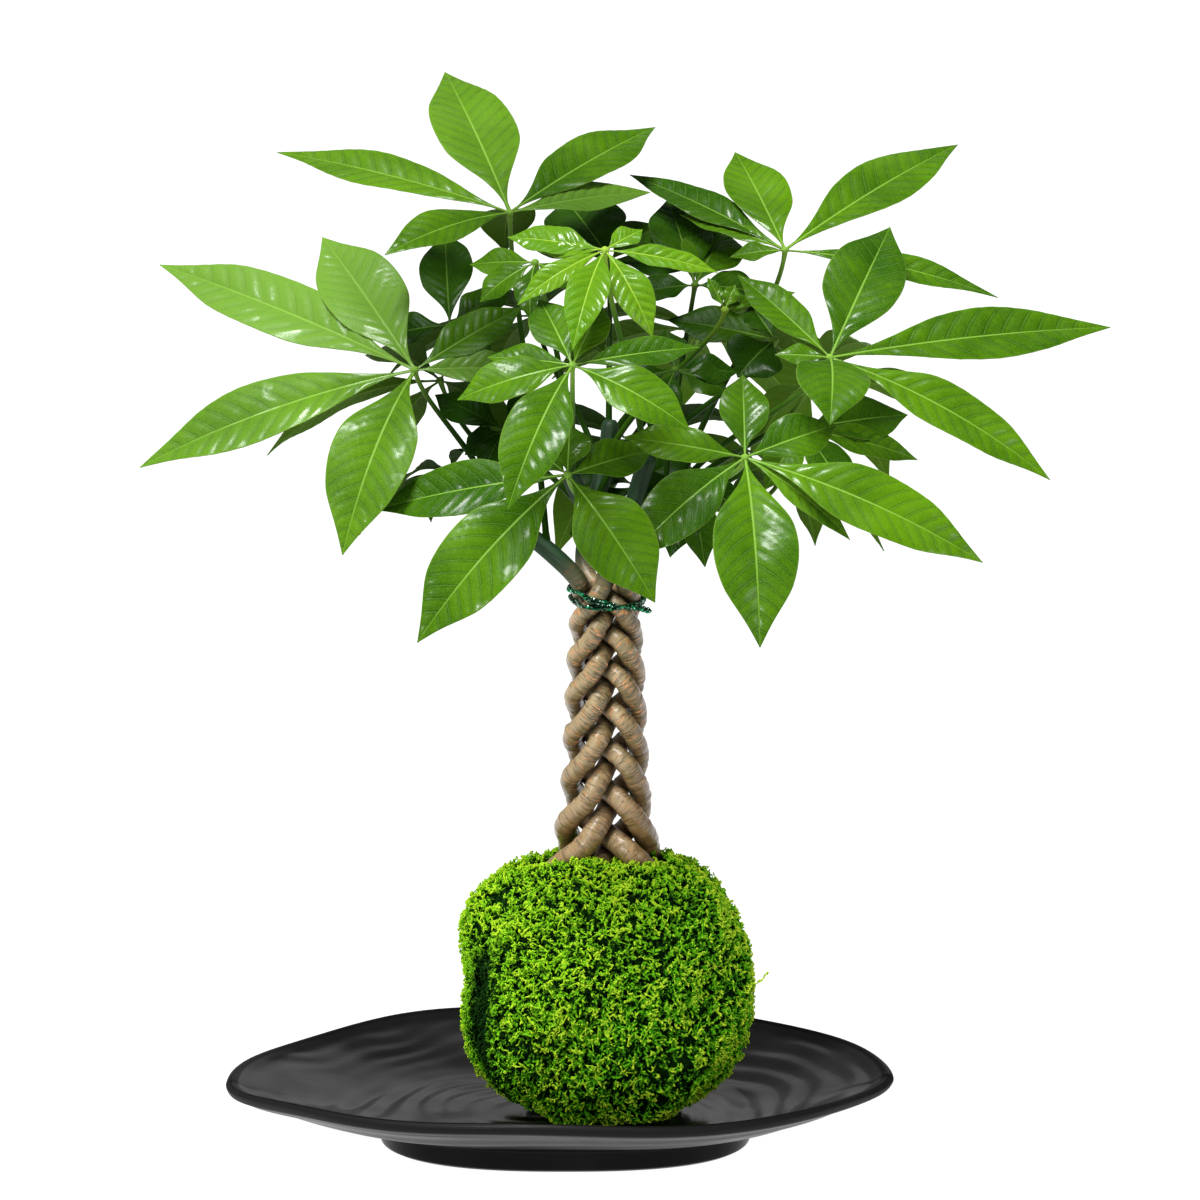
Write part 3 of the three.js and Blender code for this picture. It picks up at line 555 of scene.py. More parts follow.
def add_rings(shape, rings, **values):
    """A closed skin over a stack of rings that turn anticlockwise about the way up it."""
    rows, sides = rings.shape[:2]
    ends = np.stack([rings[0].mean(axis=0), rings[-1].mean(axis=0)])
    points = np.concatenate([rings.reshape(-1, 3), ends])
    quads = grid_faces(rows, sides, closed=True)[:, ::-1]
    count = rows * sides
    triangles = np.concatenate([
        fan(0, count, sides, outward=False),
        fan(count - sides, count + 1, sides, outward=True),
    ])
    spread = {}
    for name, value in values.items():
        value = np.asarray(value, float)
        if value.ndim:
            width = value.shape[2:]
            ends = np.stack([value[0].mean(axis=0), value[-1].mean(axis=0)])
            value = np.concatenate([value.reshape(-1, *width), ends])
        spread[name] = value
    shape.add(points, quads, triangles, **spread)


def directions_along(line):
    """The way along a line at each of its points."""
    return unit(np.gradient(line, axis=0))


def carried_across(along):
    """Directions square to the way along a line, carried along it without twist."""
    start_side = [1, 0, 0.01]
    across = np.cross(along[0], np.cross(start_side, along[0]))
    made = []
    for way in along:
        across = unit(across - way * (across @ way))
        made.append(across)
    return np.array(made)


def tube_rings(line, radii, sides, across=None, turned=0.0):
    """Rings of points round a line, which start across it and may turn along it."""
    along = directions_along(line)
    if across is None:
        across = carried_across(along)
    across = square_to(along, across)
    other = np.cross(along, across)
    turn = angles_round(sides) + np.reshape(turned, (-1, 1))
    radii = np.reshape(radii, (len(line), -1))
    return (
        line[:, None]
        + across[:, None] * (radii * np.cos(turn))[..., None]
        + other[:, None] * (radii * np.sin(turn))[..., None]
    )


def ball_angles(turns, rings):
    """For rings round a ball, lowest first: how far down from its top, and how far round."""
    share = (np.arange(rings)[:, None] + POLE_GAP) / (rings - 1 + 2 * POLE_GAP)
    return math.pi * (1 - share), angles_round(turns)[None]


# ---------------------------------------------------------------- finishes


class Amount:
    """A number that changes over a surface: a socket in a finish's node tree."""

    def __init__(self, finish, socket):
        self.finish = finish
        self.socket = socket

    def maths(self, operation, *numbers):
        """A Math node on numbers or other amounts."""
        sockets = dict(enumerate(numbers))
        return self.finish.node("ShaderNodeMath", {"operation": operation}, sockets)

    def __add__(self, other):
        return self.maths("ADD", self, other)

    __radd__ = __add__

    def __mul__(self, other):
        return self.maths("MULTIPLY", self, other)

    __rmul__ = __mul__

    def __sub__(self, other):
        return self.maths("SUBTRACT", self, other)

    def __rsub__(self, other):
        return self.maths("SUBTRACT", other, self)

    def __abs__(self):
        return self.maths("ABSOLUTE", self)

    def fraction(self):
        """What the number is past the last whole one."""
        return self.maths("FRACT", self)

    def rise(self, low, high):
        """0 below low, 1 above high, and smooth between."""
        return self.finish.node(
            "ShaderNodeMapRange",
            {"interpolation_type": "SMOOTHSTEP"},
            {"Value": self, "From Min": low, "From Max": high},
        )


class Finish:
    """One material, made of nodes."""

    def __init__(self, name):
        self.material = bpy.data.materials.new(name)
        self.material.use_nodes = True
        self.tree = self.material.node_tree
        self.tree.nodes.clear()

    def node(self, kind, settings=None, sockets=None, output=0):
        """Adds a node: its settings first, then the values or links of its sockets."""
        made = self.tree.nodes.new(kind)
        for name, value in (settings or {}).items():
            setattr(made, name, value)
        for name, value in (sockets or {}).items():
            if isinstance(value, Amount):
                self.tree.links.new(value.socket, made.inputs[name])
            else:
                made.inputs[name].default_value = value
        return Amount(self, made.outputs[output])

    def place(self):
        """Where on the object a place is, in metres."""
        return self.node("ShaderNodeTexCoord", output="Object")

    def value(self, name, output="Fac"):
        """A number, or with the output Vector a vector, that the shape holds at each point."""
        return self.node("ShaderNodeAttribute", {"attribute_name": name}, output=output)

    def values(self, *names):
        """Several such numbers."""
        return [self.value(name) for name in names]

    def vectors(self, operation, first, second, output=0):
        """Vector Math: output 0 is a vector, output 1 a number."""
        sockets = {0: first, 1: second}
        return self.node("ShaderNodeVectorMath", {"operation": operation}, sockets, output)

    def noise(self, vector, scale, detail=3.0, roughness=0.55, distortion=0.0):
        """Cloudy noise, about 0.5 on the whole."""
        sockets = {
            "Vector": vector, "Scale": scale, "Detail": detail,
            "Roughness": roughness, "Distortion": distortion,
        }
        return self.node("ShaderNodeTexNoise", {}, sockets)

    def grained(self, vector, across, along, detail=4, roughness=0.6, distortion=0.0):
        """Noise with this many waves to a millimetre, across and along a stem."""
        scaled = self.vectors("MULTIPLY", vector, (across, across, along))
        return self.noise(scaled, 1.0, detail, roughness, distortion)

    def cells(self, vector, scale, feature="DISTANCE_TO_EDGE"):
        """How far a place is from the edge of its cell, or with F1 from its middle."""
        sockets = {"Vector": vector, "Scale": scale}
        return self.node("ShaderNodeTexVoronoi", {"feature": feature}, sockets)

    def mix(self, mask, first, second):
        """The first colour where the mask is 0, the second where it is 1."""
        sockets = {0: mask, 6: colour(first), 7: colour(second)}
        return self.node("ShaderNodeMix", {"data_type": "RGBA"}, sockets, output=2)

    def layers(self, base, *coats):
        """Colours laid over the base one after the other, each where its mask is 1."""
        for mask, coat in coats:
            base = self.mix(mask, base, coat)
        return base

    def bump(self, height, distance, strength):
        """A surface that seems this many millimetres high where the height is 1."""
        sockets = {"Height": height, "Distance": distance * MM, "Strength": strength}
        return self.node("ShaderNodeBump", {}, sockets)

    def done(self, **sockets):
        """Closes the finish with a surface that has these sockets."""
        named = {name.replace("_", " "): value for name, value in sockets.items()}
        surface = self.node("ShaderNodeBsdfPrincipled", {}, named)
        end = self.tree.nodes.new("ShaderNodeOutputMaterial")
        self.tree.links.new(surface.socket, end.inputs["Surface"])
        return self.material


def colour(value):
    """A colour as a socket takes it."""
    return value if isinstance(value, Amount) else (*tuple(value)[:3], 1.0)


def shaded(value, share):
    """The colour made darker or lighter."""
    return tuple(min(channel * share, 1.0) for channel in tuple(value)[:3])


# ---------------------------------------------------------------- settings


def paint(name, description, default):
    """A setting that is a colour."""
    return FloatVectorProperty(
        name=name, description=description, default=default, min=0, max=1, size=3,
        subtype="COLOR",
    )


def measure(name, description, default, **more):
    """A setting that is a number, never below zero."""
    return FloatProperty(name=name, description=description, default=default, min=0, **more)


def length(name, description, default):
    """A setting that is a length, in metres."""
    return measure(name, description, default, precision=5, unit="LENGTH")


def quilting_height(default):
    """The setting of how deeply a blade is quilted."""
    words = "Height of the swell between side veins, as a share of the distance between them"
    return measure("Quilting", words, default, max=0.5)


class DishSettings(bpy.types.PropertyGroup):
    """The dish's marks and its glaze."""

    marks: length("Throwing marks", "Depth of the potter's marks inside the dish", 0.00036)
    marks_apart: length("Marks apart", "Distance from one throwing mark to the next", 0.0125)
    glaze: paint("Glaze", "Colour of the glaze", (0.0035, 0.0033, 0.0032))
    worn_lip: paint("Lip", "Colour of the lip, where the glaze is thin", (0.012, 0.011, 0.011))


class MossSettings(bpy.types.PropertyGroup):
    """The curls of moss on the ball."""

    curls: IntProperty(
        name="Curls", description="How many curls of moss cover the ball",
        default=15000, min=100, max=30000,
    )
    curl_length: length("Curl length", "Length of a middling curl", 0.0038)
    curl_radius: length("Curl radius", "Half the thickness of a middling curl", 0.00036)
    crumb_length: length("Crumb length", "Length of the crumbs that branch off a curl", 0.0015)
    tips: paint("Tips", "Colour of the outer ends of the moss", (0.50, 0.72, 0.03))
    moss: paint("Moss", "Colour of most of the moss", (0.10, 0.46, 0.004))
    # The depths colour is painted shade, laid where a curl lies deep among the others.
    depths: paint("Depths", "Colour of the gaps between the curls", (0.004, 0.033, 0.0005))


class SoilSettings(bpy.types.PropertyGroup):
    """The soil inside the moss."""

    crumbs: length("Crumbs", "Height of the soil's crumbs", 0.0006)
    soil: paint("Soil", "Colour of the soil", (0.03, 0.018, 0.01))


class BraidSettings(bpy.types.PropertyGroup):
    """The five stems' bark."""

    rings: length("Rings", "Height of the rings round the bark", 0.0002)
    bark: paint("Bark", "Colour of the lower bark", (0.24, 0.135, 0.042))
    upper_bark: paint("Upper bark", "Colour of the bark under the tie", (0.14, 0.135, 0.036))
    cracks: paint("Cracks", "Colour of the fine cracks", (0.80, 0.34, 0.12))
    green: paint("Green wood", "Colour of the stems above the tie", (0.008, 0.025, 0.009))


class TieSettings(bpy.types.PropertyGroup):
    """The foil-covered wire."""

    lay: length("Lay", "Length of one twist of the two wires", 0.034)
    foil: paint("Foil", "Colour of the foil", (0.0, 0.30, 0.10))
    shade: paint("Shade", "Colour of the foil's folds", (0.0, 0.02, 0.007))


class LeafSettings(bpy.types.PropertyGroup):
    """The blades and their finish."""

    thickness: length("Thickness", "Thickness of a blade", 0.00036)
    quilting: quilting_height(0.1)
    blade: paint("Blade", "Colour of a full-grown blade", (0.093, 0.228, 0.002))
    deep: paint("Deep", "Colour of its darker parts", (0.012, 0.062, 0.0006))
    vein: paint("Vein", "Colour of midribs and stalks", (0.20, 0.38, 0.05))
    under: paint("Underside", "Colour of a blade's underside", (0.08, 0.17, 0.01))


class YoungLeafSettings(bpy.types.PropertyGroup):
    """The finish of the young leaves."""

    quilting: quilting_height(0.25)
    blade: paint("Blade", "Colour of a young blade", (0.15, 0.30, 0.008))
    deep: paint("Deep", "Colour of its darker parts", (0.06, 0.19, 0.004))
    vein: paint("Vein", "Colour of midribs and stalks", (0.30, 0.47, 0.05))
    under: paint("Underside", "Colour of a blade's underside", (0.15, 0.27, 0.03))


class StageSettings(bpy.types.PropertyGroup):
    """The floor and the light."""

    floor: paint("Floor", "Colour of the floor", (0.1, 0.1, 0.1))
    floor_glow: measure("Floor glow", "Light that the floor gives off itself", 0.99)
    key: measure("Key light", "Strength of the light from the upper left", 2.2)
    top: measure("Top light", "Strength of the light from above", 3.2)
    front: measure(
        "Front light", "Strength of the light on the braid and the moss", 190.0, unit="POWER")
    fill: measure("Fill light", "Strength of the light from the right", 14.0, unit="POWER")
    sky: measure("Surround", "Strength of the light from all sides", 0.15)


class MoneyTreeSettings(bpy.types.PropertyGroup):
    """Everything that a user can change."""

    dish: PointerProperty(type=DishSettings)
    moss: PointerProperty(type=MossSettings)
    soil: PointerProperty(type=SoilSettings)
    braid: PointerProperty(type=BraidSettings)
    tie: PointerProperty(type=TieSettings)
    leaf: PointerProperty(type=LeafSettings)
    young_leaf: PointerProperty(type=YoungLeafSettings)
    stage: PointerProperty(type=StageSettings)


# ---------------------------------------------------------------- the dish


def fullness(across, up, power):
    """How far out a direction leads, as a share: over 1 at the shoulders of a full round."""
    return (np.abs(across) ** power + np.abs(up) ** power) ** (-1 / power)


def dish_place(radius, angle, share):
    """Where the dish is at a radius and a turn: a full oval at the foot, pointed at the rim."""
    hand = 1 + 0.006 * np.sin(5 * angle + 0.8) + 0.005 * np.sin(9 * angle + 2)
    across = np.sin(angle)
    front, back = (
        np.where(np.cos(angle) < 0, left, right)
        for left, right in zip(POINTED_LEFT, POINTED_RIGHT)
    )
    power = np.where(across < 0, front, back)
    x = radius * hand * np.cos(angle) + DISH_SHIFT
    half = np.where(across < 0, DISH_FRONT_DEPTH, DISH_BACK_DEPTH)
    depth = radius * hand * half / DISH_HALF_WIDTH
    y = depth * np.sign(across) * np.abs(across) ** power
    reach = radius * fullness(np.cos(angle), across, FOOT_FULLNESS)
    foot_y = FOOT_DEPTH * reach * across
    return lerp(reach * np.cos(angle), x, share), lerp(foot_y, y, share)


def rim_lift(angle):
    """How much higher than the section the rim is at a turn."""
    slow = -0.5 * np.cos(2 * angle) + 0.25 * np.sin(3 * angle + 1)
    front = FRONT_LIFT * np.maximum(0, -np.sin(angle)) ** 3
    rise = RIM_RISE * swell_at(angle, RISE_ANGLE, RISE_WIDTH)
    return RIM_WAVE * (slow + 0.2 * np.sin(7 * angle)) + front + rise


def smooth_section(rows, steps):
    """A smooth line through the rows of a section, with this many steps between two."""
    rows = np.asarray(rows, float)
    padded = np.concatenate([[2 * rows[0] - rows[1]], rows, [2 * rows[-1] - rows[-2]]])
    share = np.arange(steps)[:, None] / steps
    spans = []
    for before, here, after, beyond in zip(padded, padded[1:], padded[2:], padded[3:]):
        span = length_of(here, after)
        leave = (after - before) * (0.5 * min(1, span / length_of(before, here)))
        reach = (beyond - here) * (0.5 * min(1, span / length_of(after, beyond)))
        spans.append(
            (2 * share ** 3 - 3 * share ** 2 + 1) * here
            + (share ** 3 - 2 * share ** 2 + share) * leave
            + (3 * share ** 2 - 2 * share ** 3) * after
            + (share ** 3 - share ** 2) * reach
        )
    return np.concatenate([*spans, rows[-1:]])


def length_of(first, second):
    """How far apart two rows of a section are."""
    return max(float(np.linalg.norm(second[:2] - first[:2])), TINY)


def glaze_finish(settings):
    """Black glaze, thin on the lip and wet inside it."""
    finish = Finish("black glaze")
    place = finish.place()
    broad = finish.noise(place, 28, 3)
    fine = finish.noise(place, 900, 2)
    lip, inside = finish.values("lip", "inside")
    specks = finish.noise(place, 2600, 1).rise(0.68, 0.74)
    base = finish.layers(
        settings.glaze,
        (broad.rise(0.35, 0.75), shaded(settings.glaze, 1.8)),
        (lip * (0.55 + 0.45 * fine), settings.worn_lip),
        (specks * 0.35, shaded(settings.worn_lip, 1.5)),
    )
    rough = 0.2 + 0.16 * broad + 0.22 * lip + 0.05 * fine
    height = finish.noise(place, 120, 4) + 0.12 * fine
    return finish.done(
        Base_Color=base, Roughness=rough, Specular_IOR_Level=0.06,
        Coat_Weight=inside * (0.4 + 0.3 * broad.rise(0.3, 0.7)) + 0.03, Coat_Roughness=0.16,
        Normal=finish.bump(height, 0.28, 0.5),
    )


def dish_rows():
    """The dish's section from the foot over the lip to the middle of its floor."""
    section = smooth_section(DISH_SECTION, SPAN_STEPS)
    inner = DISH_SECTION[-1][0] * np.linspace(1, FLOOR_HOLE, FLOOR_RINGS)[1:]
    floor = np.stack([inner, np.full(len(inner), DISH_FLOOR), np.zeros(len(inner))], axis=1)
    return np.concatenate([section, floor])


def throwing_marks(settings, radius, angle, spot):
    """How far the potter's marks and dents stand out of the dish's inside."""
    turned = radius + 12 * lumps(spot, 105, 31) + 4 * lumps(spot, 42, 32)
    marks = np.sin(2 * math.pi * turned * MM / settings.marks_apart + 0.9 * np.sin(angle))
    uneven = 0.5 + 0.5 * lumps(spot, 50, 33)
    dents = 0.8 * lumps(spot, 33, 34)
    fade = smooth_step(radius, *MARKS_FROM) * (1 - smooth_step(radius, *MARKS_TO))
    return settings.marks / MM * fade * (uneven * (marks - 1) + dents - 0.6)


def build_dish(settings):
    """The dish, with throwing marks inside its lip."""
    rows = dish_rows()
    radius, height, share = (column[:, None] for column in rows.T)
    inside = np.arange(len(rows))[:, None] > SPAN_STEPS * INSIDE_ROW
    angle = angles_round(DISH_TURNS)[None]
    x, y = dish_place(radius, angle, share)
    spot = np.stack([x, y, height + 0 * x], axis=-1)
    marks = throwing_marks(settings, radius, angle, spot)
    z = height + share * rim_lift(angle) + inside * marks
    under = ~inside & (radius > UNDER_RADII[0]) & (radius < UNDER_RADII[1])
    waves = np.sin(radius / UNDER_APART + 2 * np.sin(2 * angle)) * (share > 0.15)
    z = z + under * UNDER_MARKS * waves
    rings = np.stack([x, y, z], axis=-1)
    low, high = LIP_HEIGHTS
    lip = smooth_step(radius, *LIP_RADII) * (height > low) * (height < high)
    shape = Shape()
    add_rings(shape, rings, lip=lip + 0 * x, inside=inside + 0 * x)
    shape.piece("glazed_dish", glaze_finish(settings), "glaze", "dish")


# ---------------------------------------------------------------- the ball of moss


def ball_swell(angle, down):
    """How far out the moss is, as a share of the ball's radius, and how deep its crease is."""
    large = np.sin(3 * angle + 5 * down) + np.sin(5 * angle - 3 * down + 1)
    small = 0.7 * np.sin(8 * angle + 7 * down)
    crease = CREASE_DEPTH * swell_at(angle, CREASE_ANGLE, CREASE_WIDTH) * np.sin(down) ** 4
    full = fullness(np.sin(down), np.cos(down), BALL_FULLNESS)
    return full * (1 + BALL_LUMPS * (large + small)), crease


def ball_skin(angle, down, sunk=0.0):
    """The moss's outside, or a skin that lies deeper by what it is sunk."""
    swell, crease = ball_swell(angle, down)
    reach = (BALL_RADIUS * swell - crease - sunk) * np.sin(down)
    z = BALL_CENTRE[2] + (BALL_HEIGHT * swell - sunk) * np.cos(down)
    return around(BALL_CENTRE, angle, reach, np.maximum(z, DISH_FLOOR + SKIN_CLEAR))


def furrow(points):
    """How far points are into the crease in the lower moss, from 0 to 1."""
    angle = np.arctan2(points[..., 1] - BALL_CENTRE[1], points[..., 0] - BALL_CENTRE[0])
    depth = swell_at(angle, CREASE_ANGLE, CREASE_WIDTH) ** 0.5
    return depth * (1 - smooth_step(points[..., 2] - BALL_CENTRE[2], *FURROW_FADE))


def over_ball(points):
    """How far points are outside the moss's skin, and the way out of the ball there."""
    offset = points - BALL_CENTRE
    scaled = offset / BALL_SIZE
    far = np.linalg.norm(scaled, axis=-1)
    down = np.arccos(np.clip(scaled[..., 2] / far, -1, 1))
    angle = np.arctan2(offset[..., 1], offset[..., 0])
    swell, crease = ball_swell(angle, down)
    across = np.linalg.norm(scaled[..., :2], axis=-1)[..., None]
    power = BALL_FULLNESS - 2
    steep = np.concatenate([across, across, np.abs(scaled[..., 2:])], axis=-1) ** power
    out = unit(scaled * steep / BALL_SIZE)
    return (far - swell) * BALL_RADIUS + crease, out


def in_stems(points, margin):
    """Whether points are in a stem, or closer to one than the margin."""
    inside = np.zeros(points.shape[:-1], bool)
    height = np.clip(points[..., 2], BRAID_FOOT, BRAID_TIE)
    radius = read_off(height, STEM_RADIUS)
    for k in range(STEMS):
        centre = braid_point(k, height)
        away = np.linalg.norm(points[..., :2] - centre[..., :2], axis=-1)
        inside |= (away < radius + margin) & (points[..., 2] > BRAID_FOOT)
    return inside


def clumps(skin):
    """How thick the moss grows at places on its outside."""
    return lumps(skin, 7.5, 5) + 0.6 * lumps(skin, 3.6, 6)


def lift_off_dish(points, clear):
    """Lifts the points that are lower than this over the dish's floor."""
    points[..., 2] = np.maximum(points[..., 2], DISH_FLOOR + clear)


def curl_lines(settings, rng):
    """The curls' middle lines, how far each point is outside the skin, and their angles."""
    count = settings.curls
    down = np.arccos(rng.uniform(LOWEST_CURL, 1, count))
    angle = rng.uniform(0, 2 * math.pi, count)
    skin = ball_skin(angle, down)
    clump = clumps(skin)
    _, out = over_ball(skin)
    start = skin - out * (CURL_ROOT - 0.75 * clump + rng.uniform(*CURL_STARTS, count))[:, None]
    loose = unit(rng.normal(size=(count, 3)))
    aside = square_to(out, loose)
    other = np.cross(out, aside)
    steep = rng.uniform(*CURL_STEEPNESS, (count, 1))
    way = unit(aside + out * steep)
    reach = settings.curl_length / MM * rng.uniform(*CURL_LENGTHS, (count, 1))
    bend = rng.normal(0, CURL_BEND, (count, 1)) * other + rng.uniform(-0.1, 0.3, (count, 1)) * out
    hook = rng.normal(0, CURL_HOOK, (count, 1)) * other - rng.uniform(0, 0.3, (count, 1)) * out
    share = np.linspace(0, 1, CURL_STEPS)[None, :, None]
    line = start[:, None] + reach[:, None] * (
        way[:, None] * share
        + bend[:, None] * np.sin(math.pi * share)
        + hook[:, None] * np.sin(2.2 * math.pi * share)
    )
    high, out = over_ball(line)
    cap = 0.2 + 0.4 * clump[:, None] + rng.exponential(0.55, (count, 1))
    line = line - out * (0.85 * np.maximum(high - cap, 0))[..., None]
    lift_off_dish(line, CURL_CLEAR)
    high, _ = over_ball(line)
    return line, high, angle


def crumb_lines(settings, line, rng):
    """The middle lines of the short crumbs that branch off the curls."""
    count = len(line) * CRUMBS_EACH
    place = rng.integers(2, CURL_STEPS, count)
    start = np.repeat(line, CRUMBS_EACH, axis=0)[np.arange(count), place]
    _, out = over_ball(start)
    way = unit(rng.normal(size=(count, 3)) + 0.45 * out)
    bend = rng.normal(0, 0.25, (count, 3))
    reach = settings.crumb_length / MM * rng.uniform(*CRUMB_LENGTHS, (count, 1, 1))
    share = np.linspace(0, 1, CRUMB_STEPS)[None, :, None]
    crumbs = start[:, None] + reach * (way[:, None] * share + bend[:, None] * share ** 2)
    high, out = over_ball(crumbs)
    crumbs = crumbs - out * (0.7 * np.maximum(high - CRUMB_TOP, 0))[..., None]
    lift_off_dish(crumbs, CURL_CLEAR)
    return crumbs


def moss_finish(settings):
    """Moss with painted shade between its curls and in its furrow, painted light on its upper
    left side, and paler towards the ends of its curls.
    """
    finish = Finish("live moss")
    place = finish.place()
    high, shade = finish.values("high", "shade")
    patch = finish.noise(place, 55, 3)
    fine = finish.noise(place, 1900, 2)
    lit = (high + 0.16 * (shade - 0.5) + 0.3 * (patch - 0.5)).rise(0.29, 0.8)
    bright = high + 0.35 * (shade - 0.5) + 0.3 * (patch - 0.5) + 0.2 * (fine - 0.5)
    # painted light: the moss is paler towards its upper left side
    moss_light = finish.vectors("DOT_PRODUCT", place, MOSS_LIGHT_SIDE, output=1)
    warm = (shade * fine).rise(0.42, 0.6)
    base = finish.layers(
        settings.depths,
        (lit, settings.moss),
        (bright.rise(0.68, 1.08), settings.tips),
        (moss_light.rise(0.035, 0.095) * lit * 0.45, PAINTED_LIGHT_MOSS),
        (warm * lit * 0.22, WARM_MOSS),
    )
    return finish.done(
        Base_Color=base, Roughness=0.78 + 0.15 * fine, Specular_IOR_Level=0.12,
        Normal=finish.bump(fine, 0.2, 0.6),
    )


def add_curls(shape, line, high, radius, shade, rng):
    """Knobbly threads along the lines."""
    count, steps = high.shape
    along = unit(np.gradient(line, axis=1))
    loose = unit(rng.normal(size=(count, 1, 3)))
    across = square_to(along, loose)
    other = np.cross(along, across)
    knobs = rng.uniform(*CURL_KNOBS, (count, steps))
    knobs[:, -1] *= CURL_POINT
    thick = radius[:, None] * knobs
    turn = angles_round(CURL_SIDES)
    points = (
        line[:, :, None]
        + (thick[..., None] * np.cos(turn))[..., None] * across[:, :, None]
        + (thick[..., None] * np.sin(turn))[..., None] * other[:, :, None]
    )
    ring = steps * CURL_SIDES
    body = grid_faces(steps, CURL_SIDES, closed=True)[:, ::-1]
    ends = np.array([[3, 2, 1, 0], [ring - 4, ring - 3, ring - 2, ring - 1]])
    faces = np.concatenate([body, ends])
    quads = (faces[None] + ring * np.arange(count)[:, None, None]).reshape(-1, 4)
    # Painted shade: a curl is darker the deeper it lies under the moss's outside, and darker
    # still in the furrow. The finish reads this share as high.
    lit = np.clip((high - DARKEST_DEPTH) / LIT_SPAN, 0, 1) * (1 - FURROW_SHADE * furrow(line))
    height = np.repeat(lit, CURL_SIDES)
    shape.add(points, quads, high=height, shade=np.repeat(shade, ring))


def build_moss(settings):
    """The curls, in pieces by direction, and then the bed and the long shoot."""
    finish = moss_finish(settings)
    rng = np.random.default_rng(MOSS_SEED)
    line, high, angle = curl_lines(settings, rng)
    keep = ~in_stems(line, STEM_MARGIN).any(axis=1)
    line, high, angle = line[keep], high[keep], angle[keep]
    radius = settings.curl_radius / MM * rng.uniform(*CURL_RADII, len(line))
    shade = rng.uniform(0, 1, len(line))
    order = np.argsort(angle, kind="stable")
    for i, chosen in enumerate(np.array_split(order, MOSS_PIECES)):
        shape = Shape()
        add_curls(shape, line[chosen], high[chosen], radius[chosen], shade[chosen], rng)
        crumbs = crumb_lines(settings, line[chosen], rng)
        thick = np.repeat(radius[chosen], CRUMBS_EACH) * CRUMB_THICKNESS
        tint = np.repeat(shade[chosen], CRUMBS_EACH)
        add_curls(shape, crumbs, over_ball(crumbs)[0], thick, tint, rng)
        shape.piece(f"moss_curls_{i + 1}", finish, "moss", "moss_cover")
    build_moss_bed(finish)
    build_sprig(finish, rng)


def build_moss_bed(finish):
    """The matted moss that the curls stand on, dark with painted shade for the gaps between them.
    """
    down, angle = ball_angles(BED_TURNS, BED_RINGS)
    skin = ball_skin(angle, down)
    clump = clumps(skin) + 0.5 * lumps(skin, 1.6, 7)
    points = ball_skin(angle, down, BED_DEPTH - 0.7 * clump)
    shape = Shape()
    # Its low high value paints the bed in the painted shade of the depths colour.
    add_rings(shape, points, high=0.12 + 0.1 * clump, shade=0.3)
    shape.piece("moss_bed", finish, "moss", "moss_cover")


def build_sprig(finish, rng):
    """The one long shoot of moss that stands out on the right."""
    share = np.linspace(0, 1, CURL_STEPS * SPRIG_PIECES)
    wave = np.stack([np.sin(19 * share), np.cos(15 * share + 1), np.sin(23 * share + 2)], axis=1)
    line = cubic([seen(*spot) for spot in SPRIG], share) + SPRIG_WAVE * wave
    pieces = line.reshape(SPRIG_PIECES, CURL_STEPS, 3)
    pieces[1:, 0] = pieces[:-1, -1]
    buds = np.stack([seen(*spot) for spot in SPRIG_BUDS])
    side = unit(rng.normal(size=(len(buds), 3))) * SHOOT_LENGTH
    shoots = buds[:, None] + side[:, None] * np.linspace(-0.5, 1, CURL_STEPS)[None, :, None]
    lines = np.concatenate([pieces, shoots])
    count = len(lines)
    high = np.ones((count, CURL_STEPS))
    shape = Shape()
    add_curls(
        shape, lines, high, np.full(count, SPRIG_RADIUS), np.full(count, SPRIG_SHADE), rng)
    shape.piece("moss_sprig", finish, "moss", "moss_cover")


# ---------------------------------------------------------------- the soil


def soil_finish(settings):
    """Dark crumbly soil with drier patches."""
    finish = Finish("root soil")
    place = finish.place()
    grain = finish.noise(place, 900, 4, 0.65)
    patch = finish.noise(place, 130, 3)
    base = finish.layers(
        shaded(settings.soil, 0.4),
        (grain.rise(0.3, 0.75), shaded(settings.soil, 1.7)),
        (patch.rise(0.55, 0.75) * 0.5, DRY_SOIL),
    )
    return finish.done(
        Base_Color=base, Roughness=0.8 + 0.2 * grain, Specular_IOR_Level=0.2,
        Normal=finish.bump(grain + 0.6 * patch, 0.8, 0.9),
    )


def build_soil(settings):
    """The ball of soil inside the moss."""
    down, angle = ball_angles(SOIL_TURNS, SOIL_RINGS)
    full = fullness(np.sin(down), np.cos(down), BALL_FULLNESS)
    way = around((0, 0), angle, np.sin(down), np.cos(down))
    points = BALL_CENTRE + way * full[..., None] * (BALL_SIZE - MOSS_THICKNESS - SOIL_GAP)
    crumb = lumps(points, 5, 11) + 0.7 * lumps(points, 2.4, 12) - 1.2
    points = points + way * (settings.crumbs / MM * crumb)[..., None]
    lift_off_dish(points, MOSS_THICKNESS + SOIL_GAP)
    shape = Shape()
    add_rings(shape, points)
    shape.piece("packed_soil", soil_finish(settings), "soil", "root_ball")


# ---------------------------------------------------------------- the braided stems


def read_off(height, column):
    """A column of the braid's sizes, at a height."""
    return np.interp(height, STEM_SIZE[:, 0], STEM_SIZE[:, column])


def round_trip(turn):
    """Where a stem is, as shares of the braid's half width and half depth."""
    count = len(ROUND_TRIP)
    place = (turn % 1) * count
    i = np.floor(place).astype(int)
    f = (place - i)[..., None]
    before, here, after, beyond = (ROUND_TRIP[(i + n) % count] for n in (-1, 0, 1, 2))
    return 0.5 * (
        2 * here + (after - before) * f
        + (2 * before - 5 * here + 4 * after - beyond) * f ** 2
        + (3 * here - before - 3 * after + beyond) * f ** 3
    )


